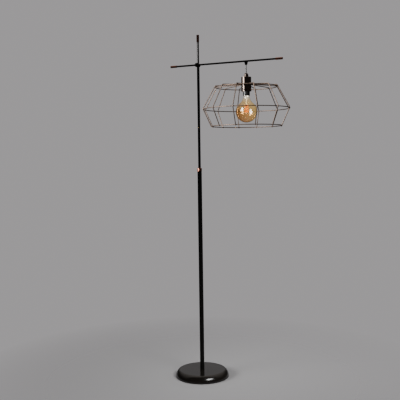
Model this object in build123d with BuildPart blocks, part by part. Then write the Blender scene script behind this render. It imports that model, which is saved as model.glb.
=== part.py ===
"""Wire cage floor lamp.

A weighted round base carries a telescoping pole. A hollow swivel knuckle near the top of the pole
holds a thin crossing arm, and a caged pendant lamp hangs from the long end of the arm by a short cord.

Millimetres, +Z up. The origin is the centre of the base on the floor, and the arm points along +X.
"""

import os
from math import cos, radians, sin, tan

from build123d import *

os.makedirs("parts", exist_ok=True)

# ------------------------------------------------------------------ fits
SNUG_GAP = 0.05  # radial gap of pieces that are pressed, screwed or glued together
RUNNING_GAP = 0.06  # radial gap of a tube or stud that turns or slides in its bore
LOOSE_GAP = 0.4  # radial gap of a part that passes freely through a hole
CORD_GAP = 0.3  # gap between a cord and the bore or the cord beside it

# ------------------------------------------------------------------ base
BASE_D = 250.0
BASE_H = 33.5
BASE_TOP_D = 210.0  # the flat top, inside the rounded shoulder
BASE_SIDE_H = 3.0  # the upright edge below the shoulder
SHOULDER_FULLNESS = 0.44  # 0.55 would be a quarter of an ellipse
SHELL_WALL = 1.6
SHELL_LIFT = 1.0  # the steel shell ends this far above the floor
PAD_T = 2.0
PAD_INSET = 3.0  # the pad ends this far inside the shell
WEIGHT_INSET = 3.0  # from the inner end of the cord's bushing to the rim of the weight
WEIGHT_T = 15.0
WEIGHT_CHAMFER = 1.5
WEIGHT_BOSS_D = 60.0
RECESS_D = 34.0  # underside recess for the foot nut
RECESS_ROOF = 5.4  # iron left above the recess
GROOVE_W = 9.0  # underside groove that leads the cord to the middle
GROOVE_H = 12.0

STUD_D = 10.0
STUD_BORE = 6.4
STUD_PAST_NUT = 2.0
NUT_AF = 17.0
NUT_H = 5.0
WASHER_D = 28.0
WASHER_T = 2.0

BUSHING_FLANGE_D = 10.0
BUSHING_FLANGE_T = 1.6
BUSHING_D = 7.4
BUSHING_BORE = 5.8
BUSHING_LENGTH = 10.0
BUSHING_Z = 6.5
LEAD_D = 5.0
LEAD_TOP_Z = 500.0  # the fixed lead ends below the lowest place of the sliding tube

# ------------------------------------------------------------------ pole
LOWER_TUBE_D = 20.0
LOWER_TUBE_WALL = 1.5
LOWER_TUBE_LENGTH = 930.5
FOOT_PLUG_H = 26.0
STUD_IN_PLUG = 18.0
COLLAR_D = 21.0
COLLAR_H = 14.0
COLLAR_LIP = 3.0
COLLAR_CHAMFER = 1.2
BUSH_LENGTH = 40.0  # sliding bush in the top of the lower tube
BUSH_NECK_D = 15.4
BUSH_NECK_H = 10.0
BUSH_SLOT_W = 1.2
BUSH_SLOT_L = 26.0
BUSH_SLOTS = 4

UPPER_TUBE_D = 12.0
UPPER_TUBE_WALL = 1.0
UPPER_TUBE_SHOWN = 473.0
UPPER_TUBE_INSIDE = 112.0
GUIDE_H = 20.0  # guide ring on the lower end of the upper tube
CLIP_D = 15.0
CLIP_T = 1.5

TOP_ROD_D = 10.0
TOP_ROD_WALL = 1.0
TOP_ROD_LENGTH = 118.0
TOP_CAP_D = 12.2
TOP_CAP_H = 33.0
TOP_CAP_SOCKET = 23.0
TIP_EDGE_R = 1.6

# ------------------------------------------------------------------ knuckle
KNUCKLE_D = 18.0
KNUCKLE_FACE = 0.2  # from the surface of the upper tube to the knuckle's joint face and rear face
KNUCKLE_HUB_T = 13.0
KNUCKLE_BOSS = 10.0  # from the knuckle's middle to the end face of each tube
SPIGOT_H = 16.0
KNUCKLE_CAP_T = 1.4
KNUCKLE_ROOM_D = 14.6
KNUCKLE_WEB = 4.0
KNUCKLE_EDGE = 0.8
PIVOT_D = 8.0
PIVOT_BORE = 5.0
PIVOT_IN_HUB = 3.4
PIVOT_NUT_D = 13.4
PIVOT_NUT_H = 3.0
FRICTION_WASHER_D = 16.0
FRICTION_WASHER_T = 0.6

# ------------------------------------------------------------------ arm
ARM_D = 8.0
ARM_WALL = 1.0
ARM_AXIS_FROM_JOINT = 8.1  # from the knuckle's joint face to the arm's axis
ARM_LONG_END = 411.5
ARM_SHORT_END = -134.5
ARM_SOCKET = 5.5
ARM_TIP_D = 10.4
ARM_TIP_LENGTH = 32.0
ARM_TIP_SOCKET = 24.0
ARM_LEAD_D = 4.4
ARM_LEAD_BEND = 4.0

PENDANT_X = 242.0
GLAND_HEAD_D = 15.0
GLAND_HEAD_H = 4.0
GLAND_LENGTH = 13.2
GLAND_TIP_D = 8.4
GLAND_NECK_D = 5.9
GLAND_NECK_H = 1.4
GLAND_SADDLE = 1.8  # the head reaches this far up the sides of the arm

# ------------------------------------------------------------------ cord and its two bending points
CORD_D = 5.0
CORD_SHOWN = 35.0
CORD_PIVOT_IN = 1.0  # the cord bends this far inside the gland's and the grip's mouth
CORD_SWING = 21.0  # degrees that both mouths leave free

# ------------------------------------------------------------------ cord grip, cup and lampholder
GRIP_D = 19.5
GRIP_TOP_D = 9.0
GRIP_H = 17.0
GRIP_SKIRT = 4.0
GRIP_THREAD_H = 8.0
NIPPLE_D = 10.0
NIPPLE_BORE = 6.4
NIPPLE_BELOW_CUP = 14.6
NIPPLE_NUT_AF = 14.0
NIPPLE_NUT_H = 4.0
CUP_D = 44.0
CUP_WALL = 1.0
CUP_EDGE_R = 1.2
CUP_UPPER_H = 30.3
CUP_LOWER_H = 29.7
CUP_LOWER_WALL = 2.0
CUP_FLOOR = 1.2
CUP_NECK_H = 10.0  # neck of the lower cup inside the upper cup
HOLDER_D = 38.0
HOLDER_WALL = 2.0
HOLDER_H = 40.0
HOLDER_CAP_H = 10.0
HOLDER_CAP_TOP_D = 16.0
SKIRT_D = 30.4
SKIRT_WALL = 1.0
SKIRT_SHOWN = 19.3
CORE_T = 12.0
CORE_ABOVE_FLOOR = 13.0
SLEEVE_WALL = 0.5
SLEEVE_H = 20.0
SPRING_W = 6.0
SPRING_T = 0.6
TERMINAL_D = 4.0
TERMINAL_H = 3.0
TERMINAL_SPACING = 20.0

# ------------------------------------------------------------------ bulb
BULB_D = 95.0
BULB_SHOWN = 117.5  # from the end of the lampholder's skirt to the bottom of the globe
BULB_WALL = 1.2
BULB_NECK_D = 27.0
BULB_NECK_ANGLE = 42.0  # where the neck meets the globe, in degrees from its top
BULB_IN_HOLDER = 1.2  # the cap ends this far inside the skirt
CAP_D = 26.2
CAP_H = 20.0
CAP_WALL = 0.4
CEMENT_GAP = 0.2  # between the cap's rim and the glass
INSULATOR_H = 5.0
INSULATOR_TOP_D = 12.0
CONTACT_D = 9.0
CONTACT_H = 1.2
STEM_IN_CAP = 1.0
STEM_RIM_H = 1.5
STEM_ROD_D = 6.0
STEM_FLARE_H = 12.0
STEM_LENGTH = 40.0
FRAME_WIRE_D = 1.2
FRAME_HUB_T = 1.0
FILAMENTS = 6
FILAMENT_D = 2.2
FILAMENT_LENGTH = 38.0
FILAMENT_CIRCLE_D = 15.0

# ------------------------------------------------------------------ wire cage
WIRE_D = 4.0
WELD_GAP = 0.05
RIBS = 12
CAGE_TURN = 5.0  # degrees from the arm's direction to the first rib
HUB_D = 47.0
HUB_T = 3.0
TOP_CORNER_R = 139.0
TOP_DROP = 7.5
WAIST_CORNER_R = 195.0
WAIST_DROP = 107.0
BOTTOM_END_R = 158.5
BOTTOM_DROP = 186.5
RIB_BEND_R = 6.0

# ------------------------------------------------------------------ heights and places
shell_inside_r = BASE_D / 2 - SHELL_WALL
shell_roof_z = BASE_H - SHELL_WALL
weight_r = BASE_D / 2 - BUSHING_LENGTH - WEIGHT_INSET
recess_roof_z = shell_roof_z - RECESS_ROOF
nut_top_z = recess_roof_z - WASHER_T
stud_bottom_z = nut_top_z - NUT_H - STUD_PAST_NUT

lower_bore_r = LOWER_TUBE_D / 2 - LOWER_TUBE_WALL
lower_tube_top_z = BASE_H + LOWER_TUBE_LENGTH
upper_tube_bottom_z = lower_tube_top_z - UPPER_TUBE_INSIDE
upper_tube_top_z = lower_tube_top_z + UPPER_TUBE_SHOWN
upper_bore_r = UPPER_TUBE_D / 2 - UPPER_TUBE_WALL

knuckle_z = upper_tube_top_z + KNUCKLE_BOSS
rod_bottom_z = knuckle_z + KNUCKLE_BOSS
rod_top_z = rod_bottom_z + TOP_ROD_LENGTH
rod_bore_r = TOP_ROD_D / 2 - TOP_ROD_WALL
joint_y = -UPPER_TUBE_D / 2 - KNUCKLE_FACE
cap_y = UPPER_TUBE_D / 2 + KNUCKLE_FACE
pivot_rear_y = joint_y + KNUCKLE_WEB + PIVOT_NUT_H
hub_rear_y = joint_y - FRICTION_WASHER_T
arm_y = joint_y - ARM_AXIS_FROM_JOINT
hub_front_y = hub_rear_y - KNUCKLE_HUB_T
arm_bore_r = ARM_D / 2 - ARM_WALL
arm_socket_x = KNUCKLE_D / 2 - ARM_SOCKET

gland_head_z = knuckle_z - ARM_D / 2 - GLAND_HEAD_H
gland_mouth_z = knuckle_z - ARM_D / 2 - GLAND_LENGTH
cord_top_z = gland_mouth_z + CORD_PIVOT_IN
grip_top_z = gland_mouth_z - CORD_SHOWN
cord_bottom_z = grip_top_z - CORD_PIVOT_IN
cup_top_z = grip_top_z - GRIP_H
hub_top_z = cup_top_z - CUP_UPPER_H
hub_bottom_z = hub_top_z - HUB_T
cup_bottom_z = hub_bottom_z - CUP_LOWER_H
skirt_end_z = cup_bottom_z - SKIRT_SHOWN
bulb_bottom_z = skirt_end_z - BULB_SHOWN
cup_bore_r = CUP_D / 2 - CUP_WALL

holder_floor_z = cup_bottom_z + CUP_FLOOR
holder_top_z = holder_floor_z + HOLDER_H
holder_cap_top_z = holder_top_z + HOLDER_CAP_H
nipple_bottom_z = cup_top_z - NIPPLE_BELOW_CUP
skirt_bore_r = SKIRT_D / 2 - SKIRT_WALL
core_bottom_z = holder_floor_z + CORE_ABOVE_FLOOR

cap_rim_z = skirt_end_z + BULB_IN_HOLDER
cap_top_z = cap_rim_z + CAP_H
insulator_top_z = cap_top_z + INSULATOR_H
contact_top_z = insulator_top_z + CONTACT_H
cap_bore_r = CAP_D / 2 - CAP_WALL
globe_z = bulb_bottom_z + BULB_D / 2
stem_top_z = cap_rim_z + STEM_IN_CAP
stem_flare_r = BULB_NECK_D / 2 - BULB_WALL - SNUG_GAP
stem_end_z = stem_top_z - STEM_LENGTH
frame_bottom_z = stem_end_z - FILAMENT_LENGTH - FRAME_HUB_T

hub_middle_z = hub_top_z - HUB_T / 2

# ------------------------------------------------------------------ planes and axes
hang_plane = Plane(origin=(PENDANT_X, arm_y, 0), x_dir=(1, 0, 0), z_dir=(0, -1, 0))
hang_axis = Axis((PENDANT_X, arm_y, 0), (0, 0, 1))
knuckle_plane = Plane(origin=(0, 0, knuckle_z), x_dir=(0, 1, 0), z_dir=(1, 0, 0))
knuckle_axis = Axis((0, 0, knuckle_z), (0, 1, 0))
arm_plane = Plane(origin=(0, arm_y, knuckle_z), x_dir=(1, 0, 0), z_dir=(0, -1, 0))
arm_axis = Axis((0, arm_y, knuckle_z), (1, 0, 0))


def outline(corners: list[tuple[float, float]], plane: Plane) -> Sketch:
    """A closed outline through the corners, for a turned piece.

    Args:
        corners: the outline's corners in the plane's own x and y.
        plane: the plane that holds the outline.

    Returns:
        The filled outline, placed in its plane.
    """
    with BuildSketch(plane) as filled:
        with BuildLine():
            Polyline(*corners, close=True)
        make_face()
    return filled.sketch


def sleeve(start: float, end: float, inner_r: float, outer_r: float, plane: Plane) -> Sketch:
    """The outline of a plain sleeve whose axis is the plane's own x."""
    return outline([(start, inner_r), (start, outer_r), (end, outer_r), (end, inner_r)], plane)


def ring(inner_r: float, outer_r: float, low: float, high: float) -> Sketch:
    """The outline of a plain ring or tube round the pendant's own axis."""
    return outline([(inner_r, low), (outer_r, low), (outer_r, high), (inner_r, high)], hang_plane)


def along_y(x: float, y: float, z: float) -> Location:
    """The place of a cylinder whose axis runs along Y."""
    return Location((x, y, z), (90, 0, 0))


def along_x(x: float, y: float, z: float) -> Location:
    """The place of a cylinder whose axis runs along X."""
    return Location((x, y, z), (0, 90, 0))


def finish(builder: BuildPart, label: str) -> None:
    """Label a finished piece and write it to its own file."""
    builder.part.label = label
    export_step(builder.part, f"parts/{label}.step")


# ================================================================== base
def shoulder_points(inset: float) -> list[tuple[float, float]]:
    """The control points of the base's rounded shoulder, from its flat top to its upright edge.

    Args:
        inset: the depth below the shell's outer face.

    Returns:
        The points of one cubic curve, as radius and height.
    """
    top = (BASE_TOP_D / 2, BASE_H - inset)
    side = (BASE_D / 2 - inset, BASE_SIDE_H)
    return [
        top,
        (top[0] + SHOULDER_FULLNESS * (side[0] - top[0]), top[1]),
        (side[0], side[1] + SHOULDER_FULLNESS * (top[1] - side[1])),
        side,
    ]


with BuildPart() as base_shell:
    with BuildSketch(Plane.XZ):
        with BuildLine():
            Polyline(
                (BASE_TOP_D / 2, shell_roof_z),
                (STUD_D / 2 + LOOSE_GAP, shell_roof_z),
                (STUD_D / 2 + LOOSE_GAP, BASE_H),
                (BASE_TOP_D / 2, BASE_H),
            )
            Bezier(*shoulder_points(0))
            Polyline(
                (BASE_D / 2, BASE_SIDE_H),
                (BASE_D / 2, SHELL_LIFT),
                (shell_inside_r, SHELL_LIFT),
                (shell_inside_r, BASE_SIDE_H),
            )
            Bezier(*shoulder_points(SHELL_WALL))
        make_face()
    revolve(axis=Axis.Z)
    with Locations(along_y(0, BASE_D / 2, BUSHING_Z)):
        Cylinder(BUSHING_D / 2 + SNUG_GAP, BUSHING_LENGTH, mode=Mode.SUBTRACT)
finish(base_shell, "base_shell")

with BuildPart() as base_weight:
    with BuildSketch(Plane.XY.offset(PAD_T)):
        Circle(weight_r)
    extrude(amount=WEIGHT_T)
    chamfer(base_weight.edges().filter_by(GeomType.CIRCLE), WEIGHT_CHAMFER)
    with BuildSketch(Plane.XY.offset(PAD_T)):
        Circle(WEIGHT_BOSS_D / 2)
    extrude(amount=shell_roof_z - PAD_T)
    with BuildSketch(Plane.XY.offset(PAD_T)):
        Circle(RECESS_D / 2)
    extrude(amount=recess_roof_z - PAD_T, mode=Mode.SUBTRACT)
    with BuildSketch(Plane.XY.offset(PAD_T)):
        with Locations((0, weight_r / 2)):
            Rectangle(GROOVE_W, weight_r)
    extrude(amount=GROOVE_H, mode=Mode.SUBTRACT)
    with Locations((0, 0, shell_roof_z)):
        Hole(STUD_D / 2 + LOOSE_GAP, depth=2 * RECESS_ROOF)
finish(base_weight, "base_weight")

with BuildPart() as base_pad:
    with BuildSketch():
        Circle(shell_inside_r - PAD_INSET)
    extrude(amount=PAD_T)
finish(base_pad, "base_pad")

with BuildPart() as foot_washer:
    with BuildSketch(Plane.XY.offset(nut_top_z)):
        Circle(WASHER_D / 2)
        Circle(STUD_D / 2 + LOOSE_GAP, mode=Mode.SUBTRACT)
    extrude(amount=WASHER_T)
finish(foot_washer, "foot_washer")

with BuildPart() as foot_nut:
    with BuildSketch(Plane.XY.offset(nut_top_z)):
        RegularPolygon(NUT_AF / 2, 6, major_radius=False)
        Circle(STUD_D / 2 + SNUG_GAP, mode=Mode.SUBTRACT)
    extrude(amount=-NUT_H)
finish(foot_nut, "foot_nut")

with BuildPart() as foot_stud:
    with BuildSketch(Plane.XY.offset(stud_bottom_z)):
        Circle(STUD_D / 2)
        Circle(STUD_BORE / 2, mode=Mode.SUBTRACT)
    extrude(amount=BASE_H + STUD_IN_PLUG - stud_bottom_z)
finish(foot_stud, "foot_stud")

with BuildPart() as cord_bushing:
    with Locations(along_y(0, BASE_D / 2 - BUSHING_LENGTH / 2, BUSHING_Z)):
        Cylinder(BUSHING_D / 2, BUSHING_LENGTH)
    with Locations(along_y(0, BASE_D / 2 + BUSHING_FLANGE_T / 2, BUSHING_Z)):
        Cylinder(BUSHING_FLANGE_D / 2, BUSHING_FLANGE_T)
    chamfer(cord_bushing.edges().sort_by(Axis.Y)[-1], BUSHING_FLANGE_T / 3)
    with Locations(along_y(0, BASE_D / 2, BUSHING_Z)):
        Cylinder(BUSHING_BORE / 2, 4 * BUSHING_LENGTH, mode=Mode.SUBTRACT)
finish(cord_bushing, "cord_bushing")

with BuildPart() as lower_lead:
    with BuildLine():
        FilletPolyline(
            (0, BASE_D / 2 - BUSHING_LENGTH / 2, BUSHING_Z),
            (0, 0, BUSHING_Z),
            (0, 0, LEAD_TOP_Z),
            radius=stud_bottom_z - BUSHING_Z,
        )
    with BuildSketch(Plane(origin=(0, BASE_D / 2 - BUSHING_LENGTH / 2, BUSHING_Z), z_dir=(0, -1, 0))):
        Circle(LEAD_D / 2)
    sweep()
finish(lower_lead, "lower_lead")

# ================================================================== lower pole
with BuildPart() as foot_plug:
    with BuildSketch(Plane.XY.offset(BASE_H)):
        Circle(lower_bore_r - SNUG_GAP)
        Circle(STUD_BORE / 2, mode=Mode.SUBTRACT)
    extrude(amount=FOOT_PLUG_H)
    with BuildSketch(Plane.XY.offset(BASE_H)):
        Circle(STUD_D / 2 + SNUG_GAP)
    extrude(amount=STUD_IN_PLUG, mode=Mode.SUBTRACT)
finish(foot_plug, "foot_plug")

with BuildPart() as lower_tube:
    with BuildSketch(Plane.XY.offset(BASE_H)):
        Circle(LOWER_TUBE_D / 2)
        Circle(lower_bore_r, mode=Mode.SUBTRACT)
    extrude(amount=LOWER_TUBE_LENGTH)
finish(lower_tube, "lower_tube")

with BuildPart() as slide_bush:
    with BuildSketch(Plane.XY.offset(lower_tube_top_z)):
        Circle(lower_bore_r - SNUG_GAP)
    extrude(amount=-BUSH_LENGTH)
    with BuildSketch(Plane.XY.offset(lower_tube_top_z)):
        Circle(BUSH_NECK_D / 2)
    extrude(amount=BUSH_NECK_H)
    with BuildSketch(Plane.XY.offset(lower_tube_top_z - BUSH_LENGTH)):
        Circle(UPPER_TUBE_D / 2 + RUNNING_GAP)
    extrude(amount=BUSH_LENGTH + BUSH_NECK_H, mode=Mode.SUBTRACT)
    with BuildSketch(Plane.XY.offset(lower_tube_top_z - BUSH_LENGTH)):
        with PolarLocations(lower_bore_r, BUSH_SLOTS):
            Rectangle(LOWER_TUBE_D / 2, BUSH_SLOT_W)
    extrude(amount=BUSH_SLOT_L, mode=Mode.SUBTRACT)
finish(slide_bush, "slide_bush")

with BuildPart() as pole_collar:
    with BuildSketch(Plane.XY.offset(lower_tube_top_z)):
        Circle(COLLAR_D / 2)
        Circle(UPPER_TUBE_D / 2 + CORD_GAP, mode=Mode.SUBTRACT)
    extrude(amount=COLLAR_H)
    with BuildSketch(Plane.XY.offset(lower_tube_top_z)):
        Circle(BUSH_NECK_D / 2 + SNUG_GAP)
    extrude(amount=COLLAR_H - COLLAR_LIP, mode=Mode.SUBTRACT)
    chamfer(pole_collar.edges().group_by(Axis.Z)[-1].sort_by(SortBy.RADIUS)[-1], COLLAR_CHAMFER)
finish(pole_collar, "pole_collar")

# ================================================================== sliding and turning upper pole
with BuildPart() as guide_ring:
    with BuildSketch(Plane.XY.offset(upper_tube_bottom_z + CLIP_T)):
        Circle(lower_bore_r - RUNNING_GAP)
        Circle(UPPER_TUBE_D / 2 + RUNNING_GAP, mode=Mode.SUBTRACT)
    extrude(amount=GUIDE_H)
finish(guide_ring, "guide_ring")

with BuildPart() as guide_clips:
    with BuildSketch(
        Plane.XY.offset(upper_tube_bottom_z),
        Plane.XY.offset(upper_tube_bottom_z + CLIP_T + GUIDE_H),
    ):
        Circle(CLIP_D / 2)
        Circle(UPPER_TUBE_D / 2 + SNUG_GAP, mode=Mode.SUBTRACT)
    extrude(amount=CLIP_T)
finish(guide_clips, "guide_clips")

with BuildPart() as upper_tube:
    with BuildSketch(Plane.XY.offset(upper_tube_bottom_z)):
        Circle(UPPER_TUBE_D / 2)
        Circle(upper_bore_r, mode=Mode.SUBTRACT)
    extrude(amount=upper_tube_top_z - upper_tube_bottom_z)
finish(upper_tube, "upper_tube")

with BuildPart() as pole_head:
    revolve(
        outline(
            [
                (joint_y, 0),
                (joint_y, KNUCKLE_D / 2 - KNUCKLE_EDGE),
                (joint_y + KNUCKLE_EDGE, KNUCKLE_D / 2),
                (cap_y, KNUCKLE_D / 2),
                (cap_y, 0),
            ],
            knuckle_plane,
        ),
        axis=knuckle_axis,
    )
    with BuildSketch(Plane.XY.offset(knuckle_z)):
        Circle(UPPER_TUBE_D / 2)
    extrude(amount=-KNUCKLE_BOSS)
    with BuildSketch(Plane.XY.offset(knuckle_z)):
        Circle(TOP_ROD_D / 2)
    extrude(amount=KNUCKLE_BOSS)
    with BuildSketch(Plane.XY.offset(knuckle_z)):
        Circle(upper_bore_r - SNUG_GAP)
    extrude(amount=-KNUCKLE_BOSS - SPIGOT_H)
    with BuildSketch(Plane.XY.offset(knuckle_z)):
        Circle(rod_bore_r - SNUG_GAP)
    extrude(amount=KNUCKLE_BOSS + SPIGOT_H)
    with Locations(along_y(0, joint_y + KNUCKLE_WEB, knuckle_z)):
        Cylinder(
            KNUCKLE_ROOM_D / 2,
            2 * KNUCKLE_D,
            align=(Align.CENTER, Align.CENTER, Align.MAX),
            mode=Mode.SUBTRACT,
        )
    with Locations(along_y(0, joint_y, knuckle_z)):
        Cylinder(PIVOT_D / 2 + RUNNING_GAP, KNUCKLE_D, mode=Mode.SUBTRACT)
    with BuildSketch(Plane.XY.offset(knuckle_z)):
        Circle(LEAD_D / 2 + CORD_GAP)
    extrude(amount=-KNUCKLE_BOSS - SPIGOT_H, mode=Mode.SUBTRACT)
finish(pole_head, "pole_head")

with BuildPart() as knuckle_cap:
    revolve(
        outline(
            [
                (cap_y, 0),
                (cap_y, KNUCKLE_D / 2),
                (cap_y + KNUCKLE_CAP_T - KNUCKLE_EDGE, KNUCKLE_D / 2),
                (cap_y + KNUCKLE_CAP_T, KNUCKLE_D / 2 - KNUCKLE_EDGE),
                (cap_y + KNUCKLE_CAP_T, 0),
            ],
            knuckle_plane,
        ),
        axis=knuckle_axis,
    )
finish(knuckle_cap, "knuckle_cap")

with BuildPart() as upper_lead:
    with BuildSketch(Plane.XY.offset(upper_tube_bottom_z)):
        Circle(LEAD_D / 2)
    extrude(amount=knuckle_z - KNUCKLE_ROOM_D / 2 - upper_tube_bottom_z)
finish(upper_lead, "upper_lead")

with BuildPart() as top_rod:
    with BuildSketch(Plane.XY.offset(rod_bottom_z)):
        Circle(TOP_ROD_D / 2)
        Circle(rod_bore_r, mode=Mode.SUBTRACT)
    extrude(amount=TOP_ROD_LENGTH)
finish(top_rod, "top_rod")

with BuildPart() as top_cap:
    with BuildSketch(Plane.XY.offset(rod_top_z - TOP_CAP_SOCKET)):
        Circle(TOP_CAP_D / 2)
    extrude(amount=TOP_CAP_H)
    fillet(top_cap.edges().sort_by(Axis.Z)[-1], TIP_EDGE_R)
    with BuildSketch(Plane.XY.offset(rod_top_z - TOP_CAP_SOCKET)):
        Circle(TOP_ROD_D / 2 + SNUG_GAP)
    extrude(amount=TOP_CAP_SOCKET, mode=Mode.SUBTRACT)
finish(top_cap, "top_cap")

# ================================================================== arm
with BuildPart() as friction_washer:
    revolve(
        sleeve(
            hub_rear_y,
            joint_y,
            PIVOT_D / 2 + RUNNING_GAP,
            FRICTION_WASHER_D / 2,
            knuckle_plane,
        ),
        axis=knuckle_axis,
    )
finish(friction_washer, "friction_washer")

with BuildPart() as arm_hub:
    revolve(
        outline(
            [
                (hub_rear_y, 0),
                (hub_rear_y, KNUCKLE_D / 2 - KNUCKLE_EDGE),
                (hub_rear_y - KNUCKLE_EDGE, KNUCKLE_D / 2),
                (hub_front_y + KNUCKLE_EDGE, KNUCKLE_D / 2),
                (hub_front_y, KNUCKLE_D / 2 - KNUCKLE_EDGE),
                (hub_front_y, 0),
            ],
            knuckle_plane,
        ),
        axis=knuckle_axis,
    )
    with Locations(along_x(arm_socket_x, arm_y, knuckle_z)):
        Cylinder(
            ARM_D / 2 + SNUG_GAP,
            KNUCKLE_D,
            align=(Align.CENTER, Align.CENTER, Align.MIN),
            mode=Mode.SUBTRACT,
        )
    with Locations(along_x(-arm_socket_x, arm_y, knuckle_z)):
        Cylinder(
            ARM_D / 2 + SNUG_GAP,
            KNUCKLE_D,
            align=(Align.CENTER, Align.CENTER, Align.MAX),
            mode=Mode.SUBTRACT,
        )
    with Locations(along_x(0, arm_y, knuckle_z)):
        Cylinder(ARM_LEAD_D / 2 + CORD_GAP, KNUCKLE_D, mode=Mode.SUBTRACT)
    with Locations(along_y(0, hub_rear_y, knuckle_z)):
        Cylinder(PIVOT_D / 2 + SNUG_GAP, 2 * PIVOT_IN_HUB, mode=Mode.SUBTRACT)
    with Locations(along_y(0, arm_y, knuckle_z)):
        Cylinder(
            PIVOT_BORE / 2,
            KNUCKLE_HUB_T,
            align=(Align.CENTER, Align.CENTER, Align.MAX),
            mode=Mode.SUBTRACT,
        )
finish(arm_hub, "arm_hub")

with BuildPart() as pivot_stud:
    revolve(
        sleeve(hub_rear_y - PIVOT_IN_HUB, pivot_rear_y, PIVOT_BORE / 2, PIVOT_D / 2, knuckle_plane),
        axis=knuckle_axis,
    )
finish(pivot_stud, "pivot_stud")

with BuildPart() as pivot_nut:
    revolve(
        sleeve(
            pivot_rear_y - PIVOT_NUT_H,
            pivot_rear_y,
            PIVOT_D / 2 + SNUG_GAP,
            PIVOT_NUT_D / 2,
            knuckle_plane,
        ),
        axis=knuckle_axis,
    )
finish(pivot_nut, "pivot_nut")

with BuildPart() as arm_long:
    revolve(
        sleeve(
            arm_socket_x,
            ARM_LONG_END - ARM_TIP_LENGTH + ARM_TIP_SOCKET,
            arm_bore_r,
            ARM_D / 2,
            arm_plane,
        ),
        axis=arm_axis,
    )
    with Locations((PENDANT_X, arm_y, knuckle_z)):
        Cylinder(
            GLAND_NECK_D / 2 + SNUG_GAP,
            ARM_D,
            align=(Align.CENTER, Align.CENTER, Align.MAX),
            mode=Mode.SUBTRACT,
        )
finish(arm_long, "arm_long")

with BuildPart() as arm_short:
    revolve(
        sleeve(
            ARM_SHORT_END + ARM_TIP_LENGTH - ARM_TIP_SOCKET,
            -arm_socket_x,
            arm_bore_r,
            ARM_D / 2,
            arm_plane,
        ),
        axis=arm_axis,
    )
finish(arm_short, "arm_short")


def arm_tip_outline(end_x: float, inward: int) -> Sketch:
    """The outline of a copper tip: a closed sleeve with a rounded end over the end of the arm.

    Args:
        end_x: where the tip ends.
        inward: 1 when the arm lies on the +X side of the tip, and -1 when it lies on the other.

    Returns:
        The filled outline in the arm's plane.
    """
    tip_r = ARM_TIP_D / 2
    bore_r = ARM_D / 2 + SNUG_GAP
    mouth_x = end_x + inward * ARM_TIP_LENGTH
    floor_x = mouth_x - inward * ARM_TIP_SOCKET
    with BuildSketch(arm_plane) as filled:
        with BuildLine():
            Polyline(
                (end_x, 0),
                (floor_x, 0),
                (floor_x, bore_r),
                (mouth_x, bore_r),
                (mouth_x, tip_r),
                (end_x + inward * TIP_EDGE_R, tip_r),
            )
            ThreePointArc(
                (end_x + inward * TIP_EDGE_R, tip_r),
                (
                    end_x + inward * TIP_EDGE_R * (1 - cos(radians(45))),
                    tip_r - TIP_EDGE_R * (1 - sin(radians(45))),
                ),
                (end_x, tip_r - TIP_EDGE_R),
            )
            Line((end_x, tip_r - TIP_EDGE_R), (end_x, 0))
        make_face()
    return filled.sketch


with BuildPart() as arm_tip_long:
    revolve(arm_tip_outline(ARM_LONG_END, -1), axis=arm_axis)
finish(arm_tip_long, "arm_tip_long")

with BuildPart() as arm_tip_short:
    revolve(arm_tip_outline(ARM_SHORT_END, 1), axis=arm_axis)
finish(arm_tip_short, "arm_tip_short")


def mouth_r(depth: float) -> float:
    """The radius that a swinging cord needs in a mouth, at a distance from its bending point."""
    swing = radians(CORD_SWING)
    return CORD_D / 2 / cos(swing) + depth * tan(swing) + CORD_GAP / 2


gland_bore_r = CORD_D / 2 + CORD_GAP

with BuildPart() as arm_gland:
    revolve(
        outline(
            [
                (gland_bore_r, gland_head_z),
                (gland_bore_r, knuckle_z - ARM_D / 2 + GLAND_SADDLE),
                (GLAND_HEAD_D / 2, knuckle_z - ARM_D / 2 + GLAND_SADDLE),
                (GLAND_HEAD_D / 2, gland_head_z),
                (GLAND_TIP_D / 2, gland_mouth_z),
                (mouth_r(CORD_PIVOT_IN), gland_mouth_z),
                (gland_bore_r, cord_top_z),
            ],
            hang_plane,
        ),
        axis=hang_axis,
    )
    with Locations(along_x(PENDANT_X, arm_y, knuckle_z)):
        Cylinder(ARM_D / 2 + SNUG_GAP, 2 * GLAND_HEAD_D, mode=Mode.SUBTRACT)
    with BuildSketch(Plane.XY.offset(gland_head_z)):
        with Locations((PENDANT_X, arm_y)):
            Circle(GLAND_NECK_D / 2)
            Circle(gland_bore_r, mode=Mode.SUBTRACT)
    extrude(amount=knuckle_z - ARM_D / 2 + GLAND_NECK_H - gland_head_z)
finish(arm_gland, "arm_gland")

with BuildPart() as arm_lead:
    with BuildLine():
        FilletPolyline(
            (arm_socket_x, arm_y, knuckle_z),
            (PENDANT_X, arm_y, knuckle_z),
            (PENDANT_X, arm_y, cord_top_z + CORD_D / 2 + CORD_GAP),
            radius=ARM_LEAD_BEND,
        )
    with BuildSketch(Plane(origin=(arm_socket_x, arm_y, knuckle_z), z_dir=(1, 0, 0))):
        Circle(ARM_LEAD_D / 2)
    sweep()
finish(arm_lead, "arm_lead")

# ================================================================== pendant cord
with BuildPart() as pendant_cord:
    with BuildSketch(hang_plane) as cord_outline:
        with BuildLine():
            Line((0, cord_top_z + CORD_D / 2), (0, cord_bottom_z - CORD_D / 2))
            RadiusArc(
                (0, cord_bottom_z - CORD_D / 2), (CORD_D / 2, cord_bottom_z), -CORD_D / 2
            )
            Line((CORD_D / 2, cord_bottom_z), (CORD_D / 2, cord_top_z))
            RadiusArc((CORD_D / 2, cord_top_z), (0, cord_top_z + CORD_D / 2), -CORD_D / 2)
        make_face()
    revolve(axis=hang_axis)
finish(pendant_cord, "pendant_cord")

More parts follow.
